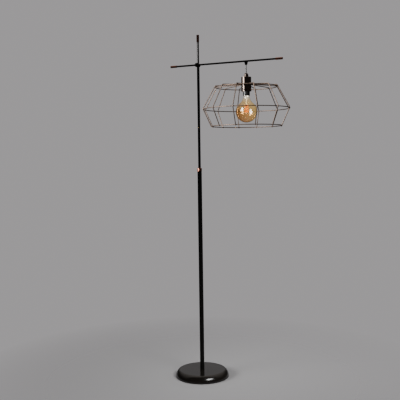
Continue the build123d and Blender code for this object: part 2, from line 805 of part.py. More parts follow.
# ================================================================== cord grip and cup
with BuildPart() as cord_grip:
    with BuildSketch(hang_plane) as grip_outline:
        with BuildLine():
            Polyline(
                (mouth_r(CORD_PIVOT_IN), grip_top_z),
                (gland_bore_r, cord_bottom_z),
                (gland_bore_r, cup_top_z + GRIP_THREAD_H),
                (NIPPLE_D / 2 + SNUG_GAP, cup_top_z + GRIP_THREAD_H),
                (NIPPLE_D / 2 + SNUG_GAP, cup_top_z),
                (GRIP_D / 2, cup_top_z),
                (GRIP_D / 2, cup_top_z + GRIP_SKIRT),
            )
            Spline(
                (GRIP_D / 2, cup_top_z + GRIP_SKIRT),
                (GRIP_TOP_D / 2, grip_top_z),
                tangents=((0, 1), (-1, 0.6)),
            )
            Line((GRIP_TOP_D / 2, grip_top_z), (mouth_r(CORD_PIVOT_IN), grip_top_z))
        make_face()
    revolve(axis=hang_axis)
finish(cord_grip, "cord_grip")

with BuildPart() as head_nipple:
    revolve(
        ring(NIPPLE_BORE / 2, NIPPLE_D / 2, nipple_bottom_z, cup_top_z + GRIP_THREAD_H),
        axis=hang_axis,
    )
finish(head_nipple, "head_nipple")

nipple_nut_top_z = cup_top_z - CUP_WALL

with BuildPart() as nipple_nut:
    with BuildSketch(Plane.XY.offset(nipple_nut_top_z)):
        with Locations((PENDANT_X, arm_y)):
            RegularPolygon(NIPPLE_NUT_AF / 2, 6, major_radius=False)
            Circle(NIPPLE_D / 2 + SNUG_GAP, mode=Mode.SUBTRACT)
    extrude(amount=-NIPPLE_NUT_H)
finish(nipple_nut, "nipple_nut")

with BuildPart() as cup_upper:
    revolve(
        outline(
            [
                (NIPPLE_D / 2 + SNUG_GAP, cup_top_z - CUP_WALL),
                (cup_bore_r, cup_top_z - CUP_WALL),
                (cup_bore_r, hub_top_z),
                (CUP_D / 2, hub_top_z),
                (CUP_D / 2, cup_top_z),
                (NIPPLE_D / 2 + SNUG_GAP, cup_top_z),
            ],
            hang_plane,
        ),
        axis=hang_axis,
    )
    fillet(cup_upper.edges().group_by(Axis.Z)[-1].sort_by(SortBy.RADIUS)[-1], CUP_EDGE_R)
finish(cup_upper, "cup_upper")

with BuildPart() as cup_lower:
    revolve(
        outline(
            [
                (SKIRT_D / 2 + SNUG_GAP, cup_bottom_z),
                (CUP_D / 2, cup_bottom_z),
                (CUP_D / 2, hub_bottom_z),
                (cup_bore_r - SNUG_GAP, hub_bottom_z),
                (cup_bore_r - SNUG_GAP, hub_top_z + CUP_NECK_H),
                (CUP_D / 2 - CUP_LOWER_WALL, hub_top_z + CUP_NECK_H),
                (CUP_D / 2 - CUP_LOWER_WALL, holder_floor_z),
                (SKIRT_D / 2 + SNUG_GAP, holder_floor_z),
            ],
            hang_plane,
        ),
        axis=hang_axis,
    )
finish(cup_lower, "cup_lower")

# ================================================================== lampholder
with BuildPart() as holder_cap:
    revolve(
        outline(
            [
                (NIPPLE_D / 2 + SNUG_GAP, holder_top_z),
                (HOLDER_D / 2, holder_top_z),
                (HOLDER_D / 2, holder_top_z + HOLDER_CAP_H / 3),
                (HOLDER_CAP_TOP_D / 2, holder_cap_top_z),
                (NIPPLE_D / 2 + SNUG_GAP, holder_cap_top_z),
            ],
            hang_plane,
        ),
        axis=hang_axis,
    )
finish(holder_cap, "holder_cap")

with BuildPart() as holder_body:
    revolve(
        outline(
            [
                (skirt_bore_r, skirt_end_z),
                (SKIRT_D / 2, skirt_end_z),
                (SKIRT_D / 2, holder_floor_z),
                (HOLDER_D / 2, holder_floor_z),
                (HOLDER_D / 2, holder_top_z),
                (HOLDER_D / 2 - HOLDER_WALL, holder_top_z),
                (HOLDER_D / 2 - HOLDER_WALL, core_bottom_z),
                (skirt_bore_r, core_bottom_z),
            ],
            hang_plane,
        ),
        axis=hang_axis,
    )
finish(holder_body, "holder_body")

with BuildPart() as holder_core:
    revolve(
        ring(0, HOLDER_D / 2 - HOLDER_WALL - SNUG_GAP, core_bottom_z, core_bottom_z + CORE_T),
        axis=hang_axis,
    )
finish(holder_core, "holder_core")

with BuildPart() as screw_sleeve:
    revolve(
        ring(
            skirt_bore_r - SNUG_GAP - SLEEVE_WALL,
            skirt_bore_r - SNUG_GAP,
            core_bottom_z - SLEEVE_H,
            core_bottom_z,
        ),
        axis=hang_axis,
    )
finish(screw_sleeve, "screw_sleeve")

with BuildPart() as centre_contact:
    with BuildSketch(Plane(origin=(PENDANT_X, arm_y, 0), z_dir=(0, -1, 0), x_dir=(1, 0, 0))):
        with BuildLine():
            Polyline(
                (-SPRING_W, core_bottom_z),
                (SPRING_W, core_bottom_z),
                (SPRING_W, core_bottom_z - SPRING_T),
                (SPRING_T - SPRING_W, core_bottom_z - SPRING_T),
                (SPRING_T - SPRING_W, contact_top_z + SPRING_T),
                (SPRING_W, contact_top_z + SPRING_T),
                (SPRING_W, contact_top_z),
                (-SPRING_W, contact_top_z),
                close=True,
            )
        make_face()
    extrude(amount=SPRING_W / 2, both=True)
finish(centre_contact, "centre_contact")

with BuildPart() as terminal_screws:
    with BuildSketch(Plane.XY.offset(core_bottom_z + CORE_T)):
        with Locations(
            (PENDANT_X - TERMINAL_SPACING / 2, arm_y), (PENDANT_X + TERMINAL_SPACING / 2, arm_y)
        ):
            Circle(TERMINAL_D / 2)
    extrude(amount=TERMINAL_H)
finish(terminal_screws, "terminal_screws")

with BuildPart() as head_lead:
    revolve(
        ring(0, ARM_LEAD_D / 2, core_bottom_z + CORE_T, cord_bottom_z - CORD_D / 2 - CORD_GAP),
        axis=hang_axis,
    )
finish(head_lead, "head_lead")

# ================================================================== bulb
with BuildPart() as bulb_cap:
    revolve(ring(cap_bore_r, CAP_D / 2, cap_rim_z, cap_top_z), axis=hang_axis)
finish(bulb_cap, "bulb_cap")

with BuildPart() as bulb_insulator:
    revolve(
        outline(
            [
                (0, cap_top_z),
                (CAP_D / 2, cap_top_z),
                (INSULATOR_TOP_D / 2, insulator_top_z),
                (0, insulator_top_z),
            ],
            hang_plane,
        ),
        axis=hang_axis,
    )
finish(bulb_insulator, "bulb_insulator")

with BuildPart() as bulb_contact:
    revolve(ring(0, CONTACT_D / 2, insulator_top_z, contact_top_z), axis=hang_axis)
finish(bulb_contact, "bulb_contact")

neck_angle = radians(BULB_NECK_ANGLE)


def globe_wall(inset: float) -> tuple[tuple[float, float], tuple[float, float]]:
    """Where the neck meets the globe, and the globe's lowest point, at a depth into the glass."""
    globe_r = BULB_D / 2 - inset
    return (globe_r * sin(neck_angle), globe_z + globe_r * cos(neck_angle)), (0, globe_z - globe_r)


neck_top_z = cap_rim_z - CEMENT_GAP
neck_direction = (cos(neck_angle), -sin(neck_angle))

with BuildPart() as bulb_glass:
    with BuildSketch(hang_plane) as glass_outline:
        with BuildLine():
            for inset in (0, BULB_WALL):
                shoulder, bottom = globe_wall(inset)
                Spline(
                    (BULB_NECK_D / 2 - inset, neck_top_z),
                    shoulder,
                    tangents=((0, -1), neck_direction),
                )
                TangentArc(shoulder, bottom, tangent=neck_direction)
            Line(globe_wall(0)[1], globe_wall(BULB_WALL)[1])
            Line((BULB_NECK_D / 2, neck_top_z), (BULB_NECK_D / 2 - BULB_WALL, neck_top_z))
        make_face()
    revolve(axis=hang_axis)
finish(bulb_glass, "bulb_glass")

with BuildPart() as bulb_stem:
    revolve(
        outline(
            [
                (0, stem_top_z),
                (stem_flare_r, stem_top_z),
                (stem_flare_r, stem_top_z - STEM_RIM_H),
                (STEM_ROD_D / 2, stem_top_z - STEM_FLARE_H),
                (STEM_ROD_D / 2, stem_end_z),
                (0, stem_end_z),
            ],
            hang_plane,
        ),
        axis=hang_axis,
    )
finish(bulb_stem, "bulb_stem")

with BuildPart() as filament_frame:
    with BuildSketch(Plane.XY.offset(stem_end_z), Plane.XY.offset(frame_bottom_z)):
        with Locations((PENDANT_X, arm_y)):
            Circle((FILAMENT_CIRCLE_D + FILAMENT_D) / 2)
    extrude(amount=-FRAME_HUB_T)
    with BuildSketch(Plane.XY.offset(stem_end_z)):
        with Locations((PENDANT_X, arm_y)):
            Circle(FRAME_WIRE_D / 2)
    extrude(amount=frame_bottom_z - stem_end_z)
finish(filament_frame, "filament_frame")

with BuildPart() as filaments:
    with BuildSketch(Plane.XY.offset(stem_end_z - FRAME_HUB_T)):
        with Locations((PENDANT_X, arm_y)):
            with PolarLocations(FILAMENT_CIRCLE_D / 2, FILAMENTS):
                Circle(FILAMENT_D / 2)
    extrude(amount=-FILAMENT_LENGTH)
finish(filaments, "filaments")

# ================================================================== wire cage
rib_slope = TOP_DROP / (TOP_CORNER_R - HUB_D / 2)
rib_points = [
    (HUB_D / 2 + WIRE_D / 2 * rib_slope + WELD_GAP, hub_middle_z),
    (TOP_CORNER_R, hub_middle_z - TOP_DROP),
    (WAIST_CORNER_R, hub_middle_z - WAIST_DROP),
    (BOTTOM_END_R, hub_middle_z - BOTTOM_DROP),
]


def bend_seat(before: tuple, corner: tuple, after: tuple) -> Vector:
    """The middle of a ring wire that lies in the inside of a rib's bend and touches it.

    Args:
        before: the rib's point before the bend, as radius and height.
        corner: the point where the rib's two straight runs would meet.
        after: the rib's point after the bend.

    Returns:
        The ring wire's middle, as radius and height.
    """
    back = (Vector(*before) - Vector(*corner)).normalized()
    onward = (Vector(*after) - Vector(*corner)).normalized()
    inward = (back + onward).normalized()
    half_turn = radians(180 - back.get_angle(onward)) / 2
    bend_middle = RIB_BEND_R / cos(half_turn)
    return Vector(*corner) + inward * (bend_middle - RIB_BEND_R + WIRE_D + WELD_GAP)


def end_seat(before: tuple, end: tuple) -> Vector:
    """The middle of a ring wire that lies against the inner side of a rib's end."""
    run = (Vector(*end) - Vector(*before)).normalized()
    inward = Vector(run.Y, -run.X)
    return Vector(*end) - run * (WIRE_D / 2) + inward * (WIRE_D + WELD_GAP)


def wire_ring(middle: Vector) -> Sketch:
    """The round section of a ring wire about the pendant's axis."""
    with BuildSketch(hang_plane) as section:
        with Locations((middle.X, middle.Y)):
            Circle(WIRE_D / 2)
    return section.sketch


with BuildPart() as cage_hub:
    revolve(ring(cup_bore_r, HUB_D / 2, hub_bottom_z, hub_top_z), axis=hang_axis)
finish(cage_hub, "cage_hub")

with BuildPart() as one_rib:
    with BuildLine(Plane.XZ):
        rib_path = FilletPolyline(*rib_points, radius=RIB_BEND_R)
    with BuildSketch(Plane(rib_path @ 0, z_dir=rib_path % 0)):
        Circle(WIRE_D / 2)
    sweep()

with BuildPart() as cage_ribs:
    with Locations((PENDANT_X, arm_y, 0)):
        with PolarLocations(0, RIBS, start_angle=CAGE_TURN):
            add(one_rib.part)
finish(cage_ribs, "cage_ribs")

with BuildPart() as cage_top_ring:
    revolve(wire_ring(bend_seat(*rib_points[0:3])), axis=hang_axis)
finish(cage_top_ring, "cage_top_ring")

with BuildPart() as cage_waist_ring:
    revolve(wire_ring(bend_seat(*rib_points[1:4])), axis=hang_axis)
finish(cage_waist_ring, "cage_waist_ring")

with BuildPart() as cage_bottom_ring:
    revolve(wire_ring(end_seat(*rib_points[2:4])), axis=hang_axis)
finish(cage_bottom_ring, "cage_bottom_ring")
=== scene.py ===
"""Looks of the wire cage floor lamp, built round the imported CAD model.

Metres, +Z up, the origin at the centre of the base on the floor, the arm along +X. Each sub-assembly is a
class that dresses the CAD nodes that belong to it and builds the meshes that the CAD model leaves out.
"""

import logging
from dataclasses import dataclass
from enum import Enum
from functools import cache
from math import atan2, cos, pi, radians, sin
from typing import Callable, ClassVar

import bmesh
import bpy
from mathutils import Euler, Matrix, Vector


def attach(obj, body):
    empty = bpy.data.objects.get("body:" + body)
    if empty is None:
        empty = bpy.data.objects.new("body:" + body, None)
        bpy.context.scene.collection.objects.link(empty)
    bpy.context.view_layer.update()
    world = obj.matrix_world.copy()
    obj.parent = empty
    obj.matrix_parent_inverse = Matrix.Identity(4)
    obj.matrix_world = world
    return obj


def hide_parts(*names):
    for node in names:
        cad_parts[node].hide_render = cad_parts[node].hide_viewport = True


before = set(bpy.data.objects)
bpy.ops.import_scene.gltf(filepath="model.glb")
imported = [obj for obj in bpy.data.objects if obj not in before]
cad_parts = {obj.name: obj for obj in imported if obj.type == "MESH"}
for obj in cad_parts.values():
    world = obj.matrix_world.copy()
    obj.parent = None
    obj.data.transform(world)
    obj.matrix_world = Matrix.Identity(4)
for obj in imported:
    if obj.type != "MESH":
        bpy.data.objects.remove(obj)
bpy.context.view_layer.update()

LOG = logging.getLogger("wire_cage_floor_lamp")
MM = 0.001

Colour = tuple[float, float, float]
Point = tuple[float, float, float]
Pair = tuple[float, float]
Profile = list[Pair]
Names = tuple[str, ...]
Socket = bpy.types.NodeSocket
Tree = bpy.types.NodeTree

PENDANT: Pair = (242 * MM, -14.3 * MM)
NOISE_LOW, NOISE_HIGH = 0.3, 0.7
MIX_FIRST, MIX_SECOND, MIX_RESULT = 6, 7, 2  # the mix node's sockets for colours
MERGE_GAP = 1e-7
LEVEL_GAP = 1e-6


class Slot(Enum):
    """The material slots of the record."""

    BLACK_PAINT = "black_paint"
    CAST_IRON = "cast_iron"
    BLACK_PAD = "black_pad"
    ZINC_STEEL = "zinc_steel"
    BLACK_NYLON = "black_nylon"
    CABLE_JACKET = "cable_jacket"
    PENDANT_CABLE = "pendant_cable"
    COPPER = "copper"
    BLACK_NICKEL = "black_nickel"
    BRONZE_WIRE = "bronze_wire"
    BLACK_HOLDER = "black_holder"
    WHITE_CERAMIC = "white_ceramic"
    CONTACT_BRASS = "contact_brass"
    BULB_CAP_METAL = "bulb_cap_metal"
    BLACK_GLASS = "black_glass"
    AMBER_GLASS = "amber_glass"
    CLEAR_GLASS = "clear_glass"
    FRAME_WIRE = "frame_wire"
    FILAMENT_COATING = "filament_coating"


class Body(Enum):
    """The moving bodies that the scene's own pieces ride on."""

    PENDANT_CABLE = "pendant_cable"
    LAMP_HEAD = "lamp_head"


Outfit = dict[Slot, Names]


# ------------------------------------------------------------------ shared shader effects
def new_group(name: str, inputs: dict[str, float | Colour], outputs: dict[str, str]) -> Tree:
    """Make an empty shader node group with named sockets.

    Args:
        name: the group's name.
        inputs: each input's name and default, a number or a colour.
        outputs: each output's name and socket type.

    Returns:
        The node group, with its input and output nodes in place.
    """
    group = bpy.data.node_groups.new(name, "ShaderNodeTree")
    for label, default in inputs.items():
        if isinstance(default, tuple):
            socket = group.interface.new_socket(label, in_out="INPUT", socket_type="NodeSocketColor")
            socket.default_value = (*default, 1.0)
        else:
            socket = group.interface.new_socket(label, in_out="INPUT", socket_type="NodeSocketFloat")
            socket.default_value = default
    for label, kind in outputs.items():
        group.interface.new_socket(label, in_out="OUTPUT", socket_type=kind)
    group.nodes.new("NodeGroupInput").name = "inputs"
    group.nodes.new("NodeGroupOutput").name = "outputs"
    return group


def object_noise(
    tree: Tree, scale: Socket | float, detail: float, stretch: Point = (1.0, 1.0, 1.0)
) -> Socket:
    """Add noise that lies still on the piece.

    Args:
        tree: the tree that gets the nodes.
        scale: the noise's scale, a number or a socket.
        detail: the noise's detail.
        stretch: how many times denser the noise is along each axis.

    Returns:
        The noise's value socket.
    """
    place = tree.nodes.new("ShaderNodeTexCoord")
    mapping = tree.nodes.new("ShaderNodeMapping")
    mapping.inputs["Scale"].default_value = stretch
    noise = tree.nodes.new("ShaderNodeTexNoise")
    noise.inputs["Detail"].default_value = detail
    tree.links.new(place.outputs["Object"], mapping.inputs["Vector"])
    tree.links.new(mapping.outputs["Vector"], noise.inputs["Vector"])
    if isinstance(scale, Socket):
        tree.links.new(scale, noise.inputs["Scale"])
    else:
        noise.inputs["Scale"].default_value = scale
    return noise.outputs["Fac"]


def spread(
    tree: Tree,
    value: Socket,
    start: float = NOISE_LOW,
    end: float = NOISE_HIGH,
    low: Socket | float = 0.0,
    high: Socket | float = 1.0,
) -> Socket:
    """Map a value onto another range, clamped.

    Args:
        tree: the tree that gets the node.
        value: the value's socket.
        start: the value that gives low; unless given, where most of a noise's values begin.
        end: the value that gives high; unless given, where most of a noise's values end.
        low: the result at the start, a number or a socket.
        high: the result at the end, a number or a socket.

    Returns:
        The result's socket.
    """
    node = tree.nodes.new("ShaderNodeMapRange")
    node.inputs["From Min"].default_value = start
    node.inputs["From Max"].default_value = end
    for label, limit in (("To Min", low), ("To Max", high)):
        if isinstance(limit, Socket):
            tree.links.new(limit, node.inputs[label])
        else:
            node.inputs[label].default_value = limit
    tree.links.new(value, node.inputs["Value"])
    return node.outputs["Result"]


def times(tree: Tree, first: Socket, second: Socket) -> Socket:
    """Multiply two values.

    Args:
        tree: the tree that gets the node.
        first: one value's socket.
        second: the other value's socket.

    Returns:
        The product's socket.
    """
    node = tree.nodes.new("ShaderNodeMath")
    node.operation = "MULTIPLY"
    tree.links.new(first, node.inputs[0])
    tree.links.new(second, node.inputs[1])
    return node.outputs["Value"]


def along(tree: Tree, vector: Socket, direction: Point) -> Socket:
    """Measure how far a vector reaches along a direction.

    Args:
        tree: the tree that gets the node.
        vector: the vector's socket.
        direction: the direction.

    Returns:
        The length's socket.
    """
    node = tree.nodes.new("ShaderNodeVectorMath")
    node.operation = "DOT_PRODUCT"
    node.inputs[1].default_value = direction
    tree.links.new(vector, node.inputs[0])
    return node.outputs["Value"]


def upward(tree: Tree, vector: Socket) -> Socket:
    """Take a vector's Z.

    Args:
        tree: the tree that gets the node.
        vector: the vector's socket.

    Returns:
        The Z's socket.
    """
    split = tree.nodes.new("ShaderNodeSeparateXYZ")
    tree.links.new(vector, split.inputs["Vector"])
    return split.outputs["Z"]


def blend_colours(tree: Tree, factor: Socket, first: Socket | Colour, second: Socket | Colour) -> Socket:
    """Mix two colours.

    Args:
        tree: the tree that gets the node.
        factor: the socket of the second colour's share.
        first: the first colour, or its socket.
        second: the second colour, or its socket.

    Returns:
        The mixed colour's socket.
    """
    node = tree.nodes.new("ShaderNodeMix")
    node.data_type = "RGBA"
    tree.links.new(factor, node.inputs["Factor"])
    for socket, colour in ((node.inputs[MIX_FIRST], first), (node.inputs[MIX_SECOND], second)):
        if isinstance(colour, tuple):
            socket.default_value = (*colour, 1.0)
        else:
            tree.links.new(colour, socket)
    return node.outputs[MIX_RESULT]


@cache
def tone_group() -> Tree:
    """Slow drifts of colour and gloss over a surface, and the fine grain on it.

    Returns:
        A group with the outputs Colour, Roughness and Height.
    """
    group = new_group(
        "surface_tone",
        {
            "Colour": (0.5, 0.5, 0.5),
            "Second Colour": (0.4, 0.4, 0.4),
            "Drift Scale": 9.0,
            "Drift": 0.5,
            "Grain Scale": 900.0,
            "Gloss Low": 0.3,
            "Gloss High": 0.4,
        },
        {"Colour": "NodeSocketColor", "Roughness": "NodeSocketFloat", "Height": "NodeSocketFloat"},
    )
    given = group.nodes["inputs"].outputs
    drift = spread(group, object_noise(group, given["Drift Scale"], detail=5.0))
    grain = object_noise(group, given["Grain Scale"], detail=3.0)
    amount = times(group, drift, given["Drift"])
    colour = blend_colours(group, amount, given["Colour"], given["Second Colour"])
    gloss = spread(group, grain, low=given["Gloss Low"], high=given["Gloss High"])
    handed = group.nodes["outputs"].inputs
    group.links.new(colour, handed["Colour"])
    group.links.new(gloss, handed["Roughness"])
    group.links.new(grain, handed["Height"])
    return group


@cache
def wear_group() -> Tree:
    """Small scattered rubs where a finish has gone lighter or duller with handling.

    Returns:
        A group with the outputs Colour and Mask.
    """
    group = new_group(
        "handling_wear",
        {"Colour": (0.5, 0.5, 0.5), "Worn Colour": (0.6, 0.6, 0.6), "Amount": 0.3},
        {"Colour": "NodeSocketColor", "Mask": "NodeSocketFloat"},
    )
    given = group.nodes["inputs"].outputs
    patches = spread(group, object_noise(group, scale=14.0, detail=2.0), start=0.52, end=0.68)
    scratches = object_noise(group, scale=260.0, detail=6.0, stretch=(1.0, 1.0, 0.35))
    scuffs = spread(group, scratches, start=0.55, end=0.66)
    mask = times(group, times(group, patches, scuffs), given["Amount"])
    handed = group.nodes["outputs"].inputs
    group.links.new(blend_colours(group, mask, given["Colour"], given["Worn Colour"]), handed["Colour"])
    group.links.new(mask, handed["Mask"])
    return group


@cache
def dust_group() -> Tree:
    """A thin film of dust on what faces up.

    Returns:
        A group with the outputs Colour and Mask.
    """
    group = new_group(
        "settled_dust",
        {"Colour": (0.5, 0.5, 0.5), "Dust Colour": (0.42, 0.4, 0.37), "Amount": 0.05},
        {"Colour": "NodeSocketColor", "Mask": "NodeSocketFloat"},
    )
    given = group.nodes["inputs"].outputs
    surface = group.nodes.new("ShaderNodeNewGeometry")
    level = spread(group, upward(group, surface.outputs["Normal"]), start=0.6, end=0.98)
    specks = spread(group, object_noise(group, scale=55.0, detail=8.0), start=0.35, end=0.75, low=0.3)
    mask = times(group, times(group, level, specks), given["Amount"])
    handed = group.nodes["outputs"].inputs
    group.links.new(blend_colours(group, mask, given["Colour"], given["Dust Colour"]), handed["Colour"])
    group.links.new(mask, handed["Mask"])
    return group


def place_group(tree: Tree, group: Tree, **values: float | Colour) -> bpy.types.Node:
    """Put a shared effect in a material with its own values.

    Args:
        tree: the material's tree.
        group: the shared effect.
        values: the inputs to set, with spaces written as underscores.

    Returns:
        The group node.
    """
    node = tree.nodes.new("ShaderNodeGroup")
    node.node_tree = group
    for label, value in values.items():
        socket = node.inputs[label.replace("_", " ")]
        socket.default_value = (*value, 1.0) if isinstance(value, tuple) else value
    return node


def new_material(name: str) -> tuple[bpy.types.Material, Tree, bpy.types.Node]:
    """Make a material with nodes.

    Args:
        name: the material's name.

    Returns:
        The material, its tree and its shader.
    """
    material = bpy.data.materials.new(name)
    material.use_nodes = True
    return material, material.node_tree, material.node_tree.nodes["Principled BSDF"]


# ------------------------------------------------------------------ finishes
@dataclass(frozen=True)
class Finish:
    """A solid finish: paint, plating, moulded plastic or bare metal.

    Attributes:
        slot: the record's slot that the finish belongs to.
        colour: the main colour.
        second: the colour that it drifts to.
        gloss: the roughness from the smoothest to the dullest place.
        variant: what sets it apart from another finish of the same slot.
        metallic: 1 for bare or plated metal.
        drift: how far the colour drifts.
        drift_scale: how fine the drift is.
        grain_scale: how fine the grain is.
        grain_depth: how deep the grain is, in metres.
        worn: the colour where hands have rubbed it.
        wear: how much of it is rubbed.
        dust: how much dust lies on top.
        index: the refractive index.
        specular: the specular level.
        coat: the weight of a clear coat.
        coat_roughness: the clear coat's roughness.
        glow: the strength of its own light.
    """

    slot: Slot
    colour: Colour
    second: Colour
    gloss: Pair
    variant: str = "finish"
    metallic: float = 0.0
    drift: float = 0.5
    drift_scale: float = 9.0
    grain_scale: float = 900.0
    grain_depth: float = 2e-6
    worn: Colour = (0.3, 0.3, 0.3)
    wear: float = 0.1
    dust: float = 0.0
    index: float = 1.5
    specular: float = 0.5
    coat: float = 0.0
    coat_roughness: float = 0.1
    glow: float = 0.0

    @cache
    def material(self) -> bpy.types.Material:
        """Turn the finish into a material, once.

        Returns:
            The material.
        """
        material, tree, shader = new_material(f"{self.slot.value}_{self.variant}")
        tone = place_group(
            tree,
            tone_group(),
            Colour=self.colour,
            Second_Colour=self.second,
            Drift_Scale=self.drift_scale,
            Drift=self.drift,
            Grain_Scale=self.grain_scale,
            Gloss_Low=self.gloss[0],
            Gloss_High=self.gloss[1],
        )
        wear = place_group(tree, wear_group(), Worn_Colour=self.worn, Amount=self.wear)
        dust = place_group(tree, dust_group(), Amount=self.dust)
        bump = tree.nodes.new("ShaderNodeBump")
        bump.inputs["Distance"].default_value = self.grain_depth
        tree.links.new(tone.outputs["Colour"], wear.inputs["Colour"])
        tree.links.new(wear.outputs["Colour"], dust.inputs["Colour"])
        tree.links.new(dust.outputs["Colour"], shader.inputs["Base Color"])
        tree.links.new(tone.outputs["Roughness"], shader.inputs["Roughness"])
        tree.links.new(tone.outputs["Height"], bump.inputs["Height"])
        tree.links.new(bump.outputs["Normal"], shader.inputs["Normal"])
        shader.inputs["Metallic"].default_value = self.metallic
        shader.inputs["IOR"].default_value = self.index
        shader.inputs["Specular IOR Level"].default_value = self.specular
        shader.inputs["Coat Weight"].default_value = self.coat
        shader.inputs["Coat Roughness"].default_value = self.coat_roughness
        if self.glow:
            tree.links.new(tone.outputs["Colour"], shader.inputs["Emission Color"])
            shader.inputs["Emission Strength"].default_value = self.glow
        return material


@dataclass(frozen=True)
class GlassFinish:
    """Blown glass whose tint changes with height, with painted shade on one side and painted light on the
    other.

    Attributes:
        slot: the record's slot that the finish belongs to.
        tint: the colour of the body on the side with painted light.
        shaded_side_tint: the darker colour of the painted shade on the other side.
        painted_glow_colour: the colour of the painted glow on the side with painted light.
        neck_tint_and_glow: the paler colour of the glass near the neck, which the painted glow takes there
            too.
        neck_z: the height where the neck's colour is full.
        body_z: the height where the body's colour is full.
        lit_side_direction: the direction towards the side with painted light.
        shade_full_at: how far along that direction the painted shade is full.
        light_full_at: how far along it the painted light is full.
        clearness: the transmission weight.
        roughness: the roughness from the smoothest to the dullest place.
        index: the refractive index.
        ripple: how deep the glass's waves are, in metres.
        ripple_scale: how fine the waves are.
        glow: the strength of the painted glow that each face of the glass gives off.
    """

    slot: Slot
    tint: Colour
    shaded_side_tint: Colour
    painted_glow_colour: Colour
    neck_tint_and_glow: Colour
    neck_z: float
    body_z: float
    lit_side_direction: Point = (0.0, 0.0, 1.0)
    shade_full_at: float = 0.0
    light_full_at: float = 1.0
    clearness: float = 1.0
    roughness: Pair = (0.0, 0.02)
    index: float = 1.5
    ripple: float = 1e-5
    ripple_scale: float = 22.0
    glow: float = 0.0

    @cache
    def material(self) -> bpy.types.Material:
        """Turn the glass into a material, once.

        Returns:
            The material.
        """
        material, tree, shader = new_material(f"{self.slot.value}_finish")
        place = tree.nodes.new("ShaderNodeTexCoord").outputs["Object"]
        to_neck = spread(tree, upward(tree, place), self.body_z, self.neck_z)
        # Painted shade and light: a darker tint on one side of the glass, a paler tint and a painted glow
        # on the other.
        lit_side = spread(tree, along(tree, place, self.lit_side_direction), self.shade_full_at, self.light_full_at)
        tint_with_painted_shade = blend_colours(tree, lit_side, self.shaded_side_tint, self.tint)
        painted_glow = blend_colours(tree, lit_side, (0.0, 0.0, 0.0), self.painted_glow_colour)
        # The glass's emission is a painted glow; near the neck it takes the neck's paler colour.
        for colour, label in ((tint_with_painted_shade, "Base Color"), (painted_glow, "Emission Color")):
            tree.links.new(blend_colours(tree, to_neck, colour, self.neck_tint_and_glow), shader.inputs[label])
        waves = object_noise(tree, self.ripple_scale, detail=1.0)
        dullness = spread(tree, waves, low=self.roughness[0], high=self.roughness[1])
        tree.links.new(dullness, shader.inputs["Roughness"])
        bump = tree.nodes.new("ShaderNodeBump")
        bump.inputs["Distance"].default_value = self.ripple
        tree.links.new(waves, bump.inputs["Height"])
        tree.links.new(bump.outputs["Normal"], shader.inputs["Normal"])
        shader.inputs["Metallic"].default_value = 0.0
        shader.inputs["Transmission Weight"].default_value = self.clearness
        shader.inputs["Emission Strength"].default_value = self.glow
        shader.inputs["IOR"].default_value = self.index
        return material


